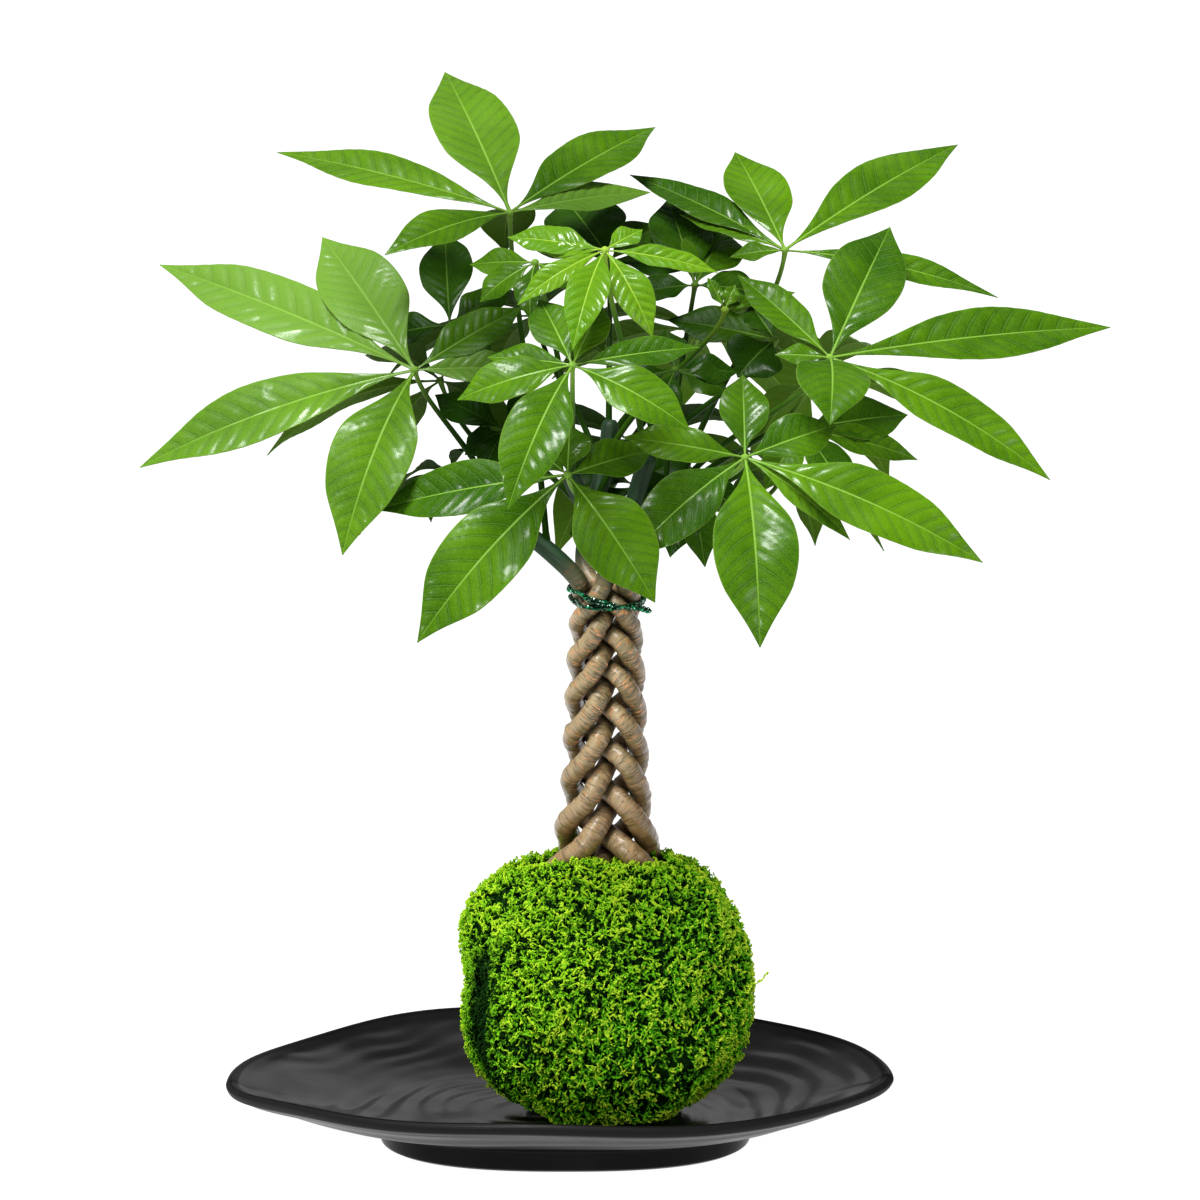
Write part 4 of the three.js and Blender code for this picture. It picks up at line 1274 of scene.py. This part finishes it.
def braid_point(k, height):
    """The middle of stem number k at a height."""
    height = np.asarray(height, float)
    root = np.sqrt(CROSSING_STEP ** 2 + 4 * STEP_GROWTH * (TOP_CROSSING - height))
    crossings = (root - CROSSING_STEP) / (2 * STEP_GROWTH)
    trip = round_trip(LEFT_TURN + (k - crossings) / STEMS)
    return np.stack([
        TRUNK[0] + trip[..., 0] * read_off(height, HALF_WIDTH),
        TRUNK[1] + trip[..., 1] * read_off(height, HALF_DEPTH),
        height,
    ], axis=-1)


def top_curve(k):
    """The four points of the curve that stem number k takes above the tie."""
    start = braid_point(k, BRAID_TIE)
    climb = unit(start - braid_point(k, BRAID_TIE - 2))
    end, lean = (np.array(value, float) for value in STEM_TOPS[k])
    reach = np.linalg.norm(end - start)
    return start, start + climb * reach * 0.3, end - unit(lean) * reach * 0.4, end


def stem_line(k):
    """The middle line of stem number k, and its radius at each point."""
    heights = np.linspace(BRAID_FOOT, BRAID_TIE, STEM_STEPS)
    share = np.linspace(0, 1, TOP_STEPS)[1:]
    line = np.concatenate([braid_point(k, heights), cubic(top_curve(k), share)])
    low = read_off(heights, STEM_RADIUS)
    radii = np.concatenate([low, lerp(low[-1], STEM_TOP_RADIUS, share)])
    return line, radii


def clearance(points, others):
    """How far points are outside the nearest of the other stems."""
    best = np.full(len(points), np.inf)
    for line, radii in others:
        for first in range(0, len(points), BATCH):
            part = slice(first, first + BATCH)
            away = np.linalg.norm(points[part, None] - line[None], axis=2) - radii
            best[part] = np.minimum(best[part], away.min(axis=1))
    return best


def press_apart(rings, line, radii, others):
    """Flattens a stem where it presses on the others, and says how close they are."""
    rows, sides = rings.shape[:2]
    centre = np.repeat(line, sides, axis=0)
    radius = np.repeat(radii, sides)
    spoke = rings.reshape(-1, 3) - centre
    room = clearance(centre + spoke, others)
    close = (1 - smooth_step(room, *CLOSE_RANGE)).reshape(rows, sides)
    pressed = np.flatnonzero(room < STEM_GAP)
    low, high = np.full(len(pressed), SHORTEST_SPOKE), np.ones(len(pressed))
    for _ in range(HALVINGS):
        middle = (low + high) / 2
        spot = centre[pressed] + spoke[pressed] * middle[:, None]
        room = clearance(spot, others) - (middle - 1) * radius[pressed]
        fits = room > STEM_GAP
        low, high = np.where(fits, middle, low), np.where(fits, high, middle)
    spoke[pressed] *= low[:, None]
    return (centre + spoke).reshape(rows, sides, 3), close


def bark_finish(settings):
    """Ringed and cracked bark, green above the tie, with painted light on the side that faces the
    light and painted shade on the other side and between the stems.
    """
    finish = Finish("ringed bark")
    straight = finish.value("straight", "Vector")
    green, cut, close, weathered = finish.values("green", "cut", "close", "weathered")
    patch = finish.grained(straight, 0.09, 0.035)
    bands = finish.grained(straight, 0.05, 0.55)
    rings = finish.grained(straight, 0.16, 1.5, 4, 0.7, 0.3)
    fine_rings = finish.grained(straight, 0.1, 3.4, 3, 0.6, 0.2)
    ticks = finish.grained(straight, 0.24, 2.0, 3, 0.65, 0.2)
    grain = finish.grained(straight, 1.5, 1.5, 4, 0.7)
    streak = finish.grained(straight, 0.7, 0.04, 3, 0.55)
    height_up = finish.node("ShaderNodeSeparateXYZ", {}, {0: finish.place()}, output=2)
    upper = height_up.rise(0.13, 0.21)
    low = 1 - height_up.rise(0.08, 0.17)
    crack = ticks.rise(0.55, 0.63) * (0.35 + bands.rise(0.40, 0.58)) * (0.4 + 0.6 * upper)
    stem_green = finish.mix(streak.rise(0.35, 0.7), settings.green, shaded(settings.green, 2.2))
    base = finish.layers(
        settings.bark,
        (upper * 0.75, settings.upper_bark),
        (patch.rise(0.35, 0.7) * 0.55, GREY_BARK),
        # painted light on the side that faces the light, and painted shade on the side away from
        # it
        (weathered.rise(0.55, 0.98) * 0.6, PAINTED_HIGHLIGHT_BARK),
        ((1 - weathered).rise(0.22, 0.8) * 0.85, shaded(settings.bark, 0.12)),
        (bands.rise(0.5, 0.68) * 0.4, BANDED_BARK),
        ((1 - rings).rise(0.5, 0.6) * 0.7, RING_SHADOW),
        (rings.rise(0.55, 0.62) * 0.5, RING_CREST),
        (fine_rings.rise(0.54, 0.6) * 0.38, FINE_RING),
        (low * 0.55, LOW_BARK),
        (crack * 0.95, settings.cracks),
        (grain.rise(0.35, 0.75) * 0.15, BARK_GRAIN),
        (green, stem_green),
        # painted shade where the stems press on each other
        (close * 0.95, shaded(settings.bark, 0.05)),
        (cut, CUT_END),
    )
    rough = 0.24 + 0.3 * green + 0.2 * grain + 0.1 * crack + 0.3 * cut + 0.3 * close
    height = 0.5 * rings + 0.35 * ticks + 0.3 * grain + 0.25 * bands
    return finish.done(
        Base_Color=base, Roughness=rough, Specular_IOR_Level=0.2,
        Coat_Weight=0.9 * (1 - close) * (1 - cut) * (1 - 0.9 * green), Coat_Roughness=0.3,
        Normal=finish.bump(height * (1 - 0.75 * green), 0.5, 0.8),
    )


def bark_thickness(settings, line, radii, straight):
    """A stem's radius with the swells and rings of its bark."""
    wide = lumps(straight * [0.12, 0.12, 1], 2.1, 21)
    broken = lumps(straight * [0.3, 0.3, 1], 5.5, 22)
    rings = settings.rings / MM * (wide + 0.8 * broken)
    bark = 1 - smooth_step(line[:, 2], *BARK_ENDS)
    thick = radii[:, None] * (1 + STEM_SWELL * lumps(straight, 24, 23)) + rings * bark[:, None]
    thick[-1] *= TOP_TAPER
    return thick


def build_stem(settings, finish, k, lines):
    """One stem, with what its finish reads: where its bark is green or cut, how close it comes to
    the others for painted shade, and how far it faces the light for painted light and shade.
    """
    line, radii = lines[k]
    rows = len(line)
    along = run_along(line)[:, None] + BARK_SHIFT * k
    straight = around((0, 0), angles_round(STEM_SIDES)[None], radii[:, None], along)
    skin = tube_rings(line, bark_thickness(settings, line, radii, straight), STEM_SIDES)
    skin, close = press_apart(skin, line, radii, lines[:k] + lines[k + 1:])
    # how far each point faces the light, for painted light and shade
    weathered = 0.5 + 0.5 * (unit(skin - line[:, None]) @ unit(BARK_LIGHT_SIDE))
    end = smooth_step(np.arange(rows), rows - 5, rows - 3) * (k == CUT_STEM)
    green = smooth_step(line[:, 2], *GREEN_STARTS)
    shape = Shape()
    add_rings(
        shape, skin, straight=straight, green=green[:, None] + 0 * close,
        cut=end[:, None] + 0 * close, close=close, weathered=weathered)
    shape.piece(f"bark_{k + 1}", finish, "bark", f"stem_{k + 1}")


def build_stems(settings):
    """All the stems: each is pressed flat where it meets the others."""
    finish = bark_finish(settings)
    lines = [stem_line(k) for k in range(STEMS)]
    for k in range(STEMS):
        build_stem(settings, finish, k, lines)


# ---------------------------------------------------------------- the wire tie


def stems_reach(angle, height):
    """How far out the stems reach from the trunk's axis in a direction."""
    angle, height = np.broadcast_arrays(angle, height)
    way = np.stack([np.cos(angle), np.sin(angle)], axis=-1)
    radius = read_off(height, STEM_RADIUS)
    reaches = [
        ((braid_point(k, height)[..., :2] - TRUNK) * way).sum(axis=-1) + radius
        for k in range(STEMS)
    ]
    return np.max(reaches, axis=0)


def taut_reach(angle, height):
    """How far out a wire drawn tight round the stems is in a direction."""
    reach = stems_reach(angle[:, None] + TAUT_SPAN, height[:, None])
    return (reach / np.cos(TAUT_SPAN)).min(axis=1)


def foil_finish(settings):
    """Crumpled green foil."""
    finish = Finish("green foil")
    place = finish.place()
    facets = finish.cells(place, 900, "F1")
    folds = finish.noise(place, 420, 3, 0.7)
    glint = finish.noise(place, 1500, 2).rise(0.58, 0.66)
    base = finish.layers(
        settings.shade,
        (folds.rise(0.46, 0.62), settings.foil),
        (glint * 0.9, FOIL_GLINT),
    )
    return finish.done(
        Base_Color=base, Metallic=0.85, Roughness=0.12 + 0.22 * folds,
        Normal=finish.bump(facets + folds, 0.4, 0.6),
    )


def add_pair(shape, line, outward, offset, radius, lay, rng):
    """A pair of wires, twisted about their middle line."""
    along = directions_along(line)
    outward = square_to(along, outward)
    other = np.cross(along, outward)
    for phase in (0, math.pi):
        turn = 2 * math.pi * run_along(line) / lay + phase
        sine, cosine = np.sin(turn)[:, None], np.cos(turn)[:, None]
        strand = line + offset * (outward * cosine + other * sine)
        creased = radius * rng.uniform(*FOIL_CREASES, (len(line), FOIL_SIDES))
        add_rings(shape, tube_rings(strand, creased, FOIL_SIDES, across=outward, turned=turn))


def build_tie(settings):
    """Two turns round the braid, and the short twist that they end in."""
    rng = np.random.default_rng(TIE_SEED)
    shape = Shape()
    angle = np.linspace(0, 2 * math.pi, TIE_STEPS) + TWIST_ANGLE
    outward = around((0, 0), angle, 1.0, 0.0)
    for height, slope in TIE_TURNS:
        z = height - slope * np.cos(angle - WIRE_LOW_SIDE)
        line = around(TRUNK, angle, taut_reach(angle, z) + TURN_REACH, z)
        add_pair(
            shape, line, outward, 0.9 * STRAND_RADIUS, STRAND_RADIUS, settings.lay / MM, rng)
    low = WIRE_HEIGHT - 0.6 * WIRE_SLOPE
    start = around(TRUNK, TWIST_ANGLE, stems_reach(TWIST_ANGLE, low) + TWIST_GAP, low)
    end = start + TWIST_END
    middle = (start + end) / 2 + TWIST_BEND
    line = bent(start, middle, end, np.linspace(0, 1, TWIST_STEPS)[:, None])
    upright = np.tile(UP, (TWIST_STEPS, 1))
    add_pair(shape, line, upright, TWIST_OFFSET, TWIST_RADIUS, TWIST_LAY, rng)
    shape.piece("foil_tie", foil_finish(settings), "foil", "tie_wire")


# ---------------------------------------------------------------- the leaves


def leaflet_outline(t):
    """Half a leaflet's width along it, as a share of its widest."""
    full = np.sin(math.pi * t ** 1.12).clip(0) ** 0.9
    foot = lerp(0.3, 1, smooth_step(t, 0, 0.42))
    point = 1 - 0.3 * smooth_step(t, 0.72, 0.98)
    return np.maximum(full * foot * point, 0.05 * (1 - 0.7 * smooth_step(t, 0.9, 1)))


def blade_columns(half, rib):
    """How far each column of points is from the midrib, and its share of the way to the edge."""
    spread = np.array(BLADE_COLUMNS)[None]
    arm = np.concatenate([0.55 * rib, rib, rib + (half - rib) * spread], axis=1)
    part = np.concatenate([0 * rib, 0 * rib, 0 * rib + spread], axis=1)
    away = np.concatenate([-arm[:, ::-1], 0 * rib, arm], axis=1)
    return away, np.concatenate([part[:, ::-1], 0 * rib, part], axis=1)


def add_blade(shape, base, tip, upper, broad, arch, number, thickness, quilting, tone):
    """One leaflet: arched, folded along its midrib, and quilted between its side veins."""
    chord = tip - base
    reach = np.linalg.norm(chord)
    side = unit(np.cross(upper, chord))
    over = unit(np.cross(chord, side))
    middle = (base + tip) / 2 + over * 2 * arch * reach
    veins = int(np.clip(round(7 + reach / 13), *VEINS))
    t = np.linspace(0, 1, veins * STEPS_PER_VEIN + 1)[:, None]
    centre = bent(base, middle, tip, t)
    along = unit(2 * (1 - t) * (middle - base) + 2 * t * (tip - middle))
    normal = np.cross(along, side)
    half = 0.5 * broad * leaflet_outline(t)
    rib = np.minimum(lerp(0.2 + 0.008 * broad, 0.1, t ** 0.7), 0.9 * half)
    away, part = blade_columns(half, rib)
    way, size = np.sign(away), np.abs(away)

    bow = VEIN_BOW * size / reach * (1 + size / broad)
    vein = veins * (t - bow) + VEIN_SHIFT * (way < 0) + 0.25 * number
    ends = smooth_step(t, 0.04, 0.16) * (1 - smooth_step(t, 0.86, 1.0))
    rise = np.sin(math.pi * part ** 0.85) ** 0.8 + 0.22 * part ** 3
    swell = (np.abs(np.sin(math.pi * vein)) ** 0.7 - 0.5) * rise * ends
    quilt = quilting * reach / veins * swell * np.minimum(half / 6, 1)

    wave = RUFFLE * np.sin(2 * math.pi * (2.2 * t + 0.37 * number)) * np.sin(math.pi * t)
    camber = CAMBER * half * np.sin(math.pi * part)
    ruffle = way * wave * size / np.maximum(half, TINY)
    lift = size * math.sin(FOLD) + ruffle + quilt + camber
    plane = (
        centre[:, None]
        + side * (away * math.cos(FOLD))[..., None]
        + normal[:, None] * lift[..., None]
    )
    inner = np.maximum(1 - (size / rib) ** 2, 0)
    thick = 0.5 * thickness * (1 - EDGE_THINNING * part ** 8)
    above = thick + RIB_ABOVE * rib * inner
    below = thick + RIB_BELOW * rib * np.sqrt(inner)
    top = plane + normal[:, None] * above[..., None]
    bottom = plane - normal[:, None] * below[..., None]
    both = {
        "rib": size <= rib * 1.001, "vein": vein, "across": part * way,
        "along": t + 0 * away, "swell": swell,
    }
    values = {name: np.tile(value.ravel(), 2) for name, value in both.items()}
    shape.add(
        np.stack([top, bottom]), sheet_faces(*away.shape),
        under=np.repeat([0.0, 1.0], away.size), tone=tone, stalk=0.0, **values,
    )


def add_stalk(shape, start, hub, upper):
    """The stalk, and the small knob that the leaflets spread from."""
    reach = np.linalg.norm(hub - start)
    points = (
        start,
        lerp(start, hub, 0.25) + UP * 0.16 * reach,
        hub - upper * 0.3 * reach,
        hub,
    )
    plain = {"rib": 0.0, "vein": 0.5, "across": 0.0, "swell": 0.0, "under": 0.0, "stalk": 1.0}
    share = np.linspace(0, 1, STALK_STEPS)
    foot = 1 + 0.5 * (1 - smooth_step(share, 0, 0.05))
    collar = 1 + 0.35 * smooth_step(share, 0.93, 1)
    radii = lerp(PETIOLE_BASE, PETIOLE_TIP, share) * 0.8 * foot * collar
    rings = tube_rings(cubic(points, share), radii, STALK_SIDES)
    along = np.broadcast_to(share[:, None], rings.shape[:2])
    add_rings(shape, rings, along=along, tone=0.0, **plain)
    climb = np.linspace(0.06, 0.94, KNOB_RINGS)
    line = hub - upper * (HUB_RADIUS * KNOB_HEIGHT * np.cos(math.pi * climb))[:, None]
    knob = tube_rings(line, HUB_RADIUS * KNOB_WIDTH * np.sin(math.pi * climb), KNOB_SIDES)
    add_rings(shape, knob, along=1.0, tone=0.3, **plain)


def leaf_facing(side, lift):
    """The way a leaf faces as it is seen, from how far it turns to the right and upwards."""
    side, lift = math.radians(side), math.radians(lift)
    level = math.cos(lift)
    return np.array([math.sin(side) * level, math.sin(lift), math.cos(side) * level])


def seen_tips(hub, face, leaflets):
    """Tips that are given as they are seen. Each lies near its leaf's plane and droops."""
    right, up, near = hub
    tips = []
    for tip_right, tip_up, broad, *rise in leaflets:
        across, above = tip_right - right, tip_up - up
        reach = math.hypot(across, above)
        lift = rise[0] if rise else -DROOP * reach
        forward = (lift - face[0] * across - face[1] * above) / face[2]
        hanging = max(-above, 0) / reach
        arch = lerp(SIDE_ARCH, ARCH, hanging)
        tips.append((seen(tip_right, tip_up, near + forward), broad, arch))
    return tips


def spread_tips(hub, upper, longest, count, points):
    """Tips that fan out evenly, the longest away from the stalk."""
    points = math.radians(points)
    ahead = facing(math.cos(points), math.sin(points), 0)
    ahead = unit(ahead - upper * (ahead @ upper))
    aside = np.cross(upper, ahead)
    tips = []
    for i in range(count):
        off = i - (count - 1) / 2
        turn = off * BACK_SPREAD / count
        reach = longest * (1 - BACK_TAPER * abs(off) - BACK_UNEVENNESS * (i % 2))
        way = ahead * math.cos(turn) + aside * math.sin(turn) - BACK_DROOP * upper
        tips.append((hub + reach * way, BACK_BREADTH * reach, ARCH))
    return tips


def leaf_finish(name, settings, gloss, shine, dark):
    """A leaf's finish: its roughness where smoothest, its wet shine, and its veins' shadow."""
    finish = Finish(name)
    place = finish.place()
    rib, vein, along, under, tone, stalk = finish.values(
        "rib", "vein", "along", "under", "tone", "stalk")
    across = abs(finish.value("across"))
    patch = finish.noise(place, 38, 3)
    fine = finish.noise(place, 520, 3, 0.6)
    net = finish.cells(place, 950)
    beside = abs((vein + 0.5).fraction() - 0.5)
    line = (1 - beside.rise(0.012, 0.075)) * (1 - across.rise(0.7, 0.97)) * (1 - rib)
    # painted shade in the valleys along the side veins
    vein_shadow = (1 - beside.rise(0.0, 0.2)) * (1 - across.rise(0.8, 1.0)) * (1 - rib)
    light = 0.5 + 0.9 * (patch - 0.5) + 0.5 * tone + 0.25 * (fine - 0.5) - 0.25 * vein_shadow
    edge = across.rise(0.965, 1.0) * (1 - stalk)
    back = finish.mix(line * 0.4 + 0.25 * patch, settings.under, shaded(settings.under, 1.35))
    strong = rib.rise(0.5, 0.95) * (1 - 0.5 * along.rise(0.45, 1.0))
    green_stalk = finish.mix(along.rise(0.55, 1.0), STALK_FOOT, settings.vein)
    # painted shade: the leaves darken towards the middle of the crown
    crown_shade = 1 - finish.vectors("DISTANCE", place, CROWN_SHADE_MIDDLE, output=1).rise(0.055, 0.13)
    base = finish.layers(
        settings.deep,
        (light.rise(0.05, 0.95), settings.blade),
        # painted sheen on the leaves of the highest tone
        (tone.rise(0.2, 0.65) * 0.5, PAINTED_SHEEN_LEAF),
        ((1 - net.rise(0.0, 0.16)) * 0.12, settings.vein),
        (line * 0.28, settings.vein),
        (vein_shadow * 0.1, shaded(settings.deep, dark)),
        (edge * 0.5, LEAF_EDGE),
        (under * 0.9, back),
        (strong * 0.85, settings.vein),
        (stalk, green_stalk),
        (crown_shade * 0.92, shaded(settings.deep, 0.3)),
    )
    wet = finish.noise(place, 75, 2).rise(0.47, 0.6)
    swell = finish.value("swell").rise(-0.2, 0.35)
    coat = (0.03 + 0.97 * wet) * (0.35 + 0.65 * swell) * (1 - under) * (1 - stalk) * (1 - crown_shade)
    rough = gloss + 0.08 * fine + 0.12 * (1 - patch) + 0.3 * under + 0.15 * rib
    height = 0.5 * net.rise(0.0, 0.35) + 0.5 * fine - 0.5 * line * (1 - 2 * under)
    return finish.done(
        Base_Color=base, Roughness=rough, Specular_IOR_Level=0.04,
        Coat_Weight=coat * shine, Coat_Roughness=0.2,
        Subsurface_Weight=0.05, Subsurface_Radius=(0.35, 1.0, 0.1), Subsurface_Scale=0.0012,
        Normal=finish.bump(height, 0.12, 0.7),
    )


def build_leaf(name, spec, finish, slot, thickness, quilting):
    """One compound leaf: its stalk, its hub and its leaflets."""
    stem, start, hub_seen, turned, rest = spec
    face = leaf_facing(*turned)
    hub = seen(*hub_seen)
    upper = facing(*face)
    if name in BACK_LEAVES:
        tips = spread_tips(hub, upper, *rest)
    else:
        tips = seen_tips(hub_seen, face, rest)
    shape = Shape()
    root = cubic(top_curve(stem - 1), np.array([start]))[0]
    add_stalk(shape, root, hub, upper)
    leaf_tone = LEAF_TONE_AND_PAINTED_LIGHT.get(name, 0.5 * math.sin(2.7 * len(name) + 0.05 * hub_seen[0]))
    for number, (tip, broad, arch) in enumerate(tips):
        reach = np.linalg.norm(tip - hub)
        base = lerp(hub, tip, 0.35 * HUB_RADIUS / reach)
        tone = 0.6 * leaf_tone + 0.3 * math.sin(2.4 * number + 1.3 * leaf_tone)
        add_blade(shape, base, tip, upper, broad, arch, number, thickness, quilting, tone)
    shape.piece(f"veined_{name}", finish, slot, name)


def build_leaves(leaf, young):
    """All the leaves, the young ones with a finish of their own."""
    grown_finish = leaf_finish("grown leaf", leaf, gloss=0.24, shine=0.55, dark=0.8)
    young_finish = leaf_finish("young leaf", young, gloss=0.18, shine=1.0, dark=0.7)
    thickness = leaf.thickness / MM
    for name, spec in {**LEAVES, **BACK_LEAVES}.items():
        if name in YOUNG_LEAVES:
            build_leaf(name, spec, young_finish, "young_leaf", thickness, young.quilting)
        else:
            build_leaf(name, spec, grown_finish, "leaf", thickness, leaf.quilting)


# ---------------------------------------------------------------- the stage


def put_in_scene(name, data, place, way):
    """Puts a camera or a light at a place, so that it looks or shines this way."""
    made = bpy.data.objects.new(name, data)
    made.location = place
    made.rotation_euler = way.to_track_quat("-Z", "Y").to_euler()
    bpy.context.scene.collection.objects.link(made)
    return made


def add_light(name, kind, place, way, **settings):
    """A light of this kind, with the light's own settings."""
    light = bpy.data.lights.new(name, kind)
    for key, value in settings.items():
        setattr(light, key, value)
    put_in_scene(name, light, place, way)


def add_floor(settings):
    """The pale floor, which gives off some light itself."""
    mesh = bpy.data.meshes.new("floor")
    half = FLOOR_HALF
    corners = [(-half, -half, 0), (half, -half, 0), (half, half, 0), (-half, half, 0)]
    mesh.from_pydata(corners, [], [(0, 1, 2, 3)])
    mesh.materials.append(Finish("pale floor").done(
        Base_Color=colour(settings.floor), Roughness=1.0, Specular_IOR_Level=0.0,
        Emission_Color=(1.0, 1.0, 1.0, 1.0), Emission_Strength=settings.floor_glow))
    floor = bpy.data.objects.new("floor", mesh)
    bpy.context.scene.collection.objects.link(floor)


def add_camera():
    """A camera that sees the plant as the photo shows it: from far away, a little from above."""
    back = Vector((0, -math.cos(EYE_LIFT), math.sin(EYE_LIFT)))
    camera = bpy.data.cameras.new("camera")
    camera.sensor_width = SENSOR_WIDTH
    camera.lens = SENSOR_WIDTH * EYE_DISTANCE / VIEW_WIDTH
    camera.clip_end = FARTHEST
    place = Vector(EYE_TARGET) * MM + back * (EYE_DISTANCE * MM)
    bpy.context.scene.camera = put_in_scene("camera", camera, place, -back)


def add_surround(settings):
    """Even white light from all sides."""
    world = bpy.data.worlds.new("surround")
    bpy.context.scene.world = world
    world.use_nodes = True
    surround = world.node_tree.nodes["Background"]
    surround.inputs["Color"].default_value = (1, 1, 1, 1)
    surround.inputs["Strength"].default_value = settings.sky


def add_lights(settings):
    """Two soft lights, two suns, and a spot on the braid and the moss."""
    for name, place, size, share in (
        ("fill", FILL_PLACE, FILL_SIZE, 1),
        ("back", BACK_PLACE, BACK_SIZE, BACK_SHARE),
    ):
        add_light(
            name, "AREA", place, LIGHT_AIM - place, shape="DISK", size=size,
            energy=settings.fill * share)
    for name, way, strength in (("key", KEY_WAY, settings.key), ("top", TOP_WAY, settings.top)):
        add_light(name, "SUN", (0, 0, 0), -way, angle=SUN_ANGLE, energy=strength)
    add_light(
        "front", "SPOT", FRONT_PLACE, FRONT_AIM - FRONT_PLACE, energy=settings.front,
        spot_size=FRONT_CONE, spot_blend=FRONT_BLEND, shadow_soft_size=FRONT_RADIUS)


def build_stage(settings):
    """The floor, the camera and the light. They are no part of the plant."""
    add_floor(settings)
    add_camera()
    add_surround(settings)
    add_lights(settings)
    bpy.context.scene.view_settings.view_transform = "Standard"


# ---------------------------------------------------------------- operators and panel


class MONEYTREE_OT_stage(bpy.types.Operator):
    """Adds the floor, the camera and the lights"""

    bl_idname = "money_tree.stage"
    bl_label = "Add stage"

    def execute(self, context):
        build_stage(context.scene.money_tree.stage)
        return {"FINISHED"}


class MONEYTREE_OT_dish(bpy.types.Operator):
    """Builds the glazed dish"""

    bl_idname = "money_tree.dish"
    bl_label = "Build dish"

    def execute(self, context):
        build_dish(context.scene.money_tree.dish)
        return {"FINISHED"}


class MONEYTREE_OT_soil(bpy.types.Operator):
    """Builds the soil inside the moss"""

    bl_idname = "money_tree.soil"
    bl_label = "Build soil"

    def execute(self, context):
        build_soil(context.scene.money_tree.soil)
        return {"FINISHED"}


class MONEYTREE_OT_moss(bpy.types.Operator):
    """Grows the moss on the ball"""

    bl_idname = "money_tree.moss"
    bl_label = "Grow moss"

    def execute(self, context):
        build_moss(context.scene.money_tree.moss)
        return {"FINISHED"}


class MONEYTREE_OT_stems(bpy.types.Operator):
    """Builds the five braided stems"""

    bl_idname = "money_tree.stems"
    bl_label = "Build stems"

    def execute(self, context):
        build_stems(context.scene.money_tree.braid)
        return {"FINISHED"}


class MONEYTREE_OT_tie(bpy.types.Operator):
    """Winds the foil-covered tie round the braid"""

    bl_idname = "money_tree.tie"
    bl_label = "Wind tie"

    def execute(self, context):
        build_tie(context.scene.money_tree.tie)
        return {"FINISHED"}


class MONEYTREE_OT_leaves(bpy.types.Operator):
    """Grows the leaves"""

    bl_idname = "money_tree.leaves"
    bl_label = "Grow leaves"

    def execute(self, context):
        settings = context.scene.money_tree
        build_leaves(settings.leaf, settings.young_leaf)
        return {"FINISHED"}


OPERATORS = (
    MONEYTREE_OT_stage, MONEYTREE_OT_dish, MONEYTREE_OT_soil, MONEYTREE_OT_moss,
    MONEYTREE_OT_stems, MONEYTREE_OT_tie, MONEYTREE_OT_leaves,
)


class VIEW3D_PT_money_tree(bpy.types.Panel):
    """Lists the pieces of the money tree"""

    bl_label = "Money tree"
    bl_space_type = "VIEW_3D"
    bl_region_type = "UI"
    bl_category = "Money tree"

    def draw(self, context):
        settings = context.scene.money_tree
        for name in MoneyTreeSettings.__annotations__:
            box = self.layout.box()
            box.label(text=name.replace("_", " ").capitalize())
            group = getattr(settings, name)
            for key in type(group).__annotations__:
                box.prop(group, key)
        for operator in OPERATORS:
            self.layout.operator(operator.bl_idname)


CLASSES = (
    DishSettings, MossSettings, SoilSettings, BraidSettings, TieSettings, LeafSettings,
    YoungLeafSettings, StageSettings, MoneyTreeSettings, *OPERATORS, VIEW3D_PT_money_tree,
)


def register():
    """Adds the settings, the operators and the panel."""
    for item in CLASSES:
        bpy.utils.register_class(item)
    bpy.types.Scene.money_tree = PointerProperty(type=MoneyTreeSettings)


def unregister():
    """Takes them away again."""
    del bpy.types.Scene.money_tree
    for item in reversed(CLASSES):
        bpy.utils.unregister_class(item)


def main():
    """Adds the settings, then builds the stage and the plant."""
    register()
    bpy.ops.money_tree.stage()
    bpy.ops.money_tree.dish()
    bpy.ops.money_tree.soil()
    bpy.ops.money_tree.moss()
    bpy.ops.money_tree.stems()
    bpy.ops.money_tree.tie()
    bpy.ops.money_tree.leaves()


if __name__ == "__main__":
    main()
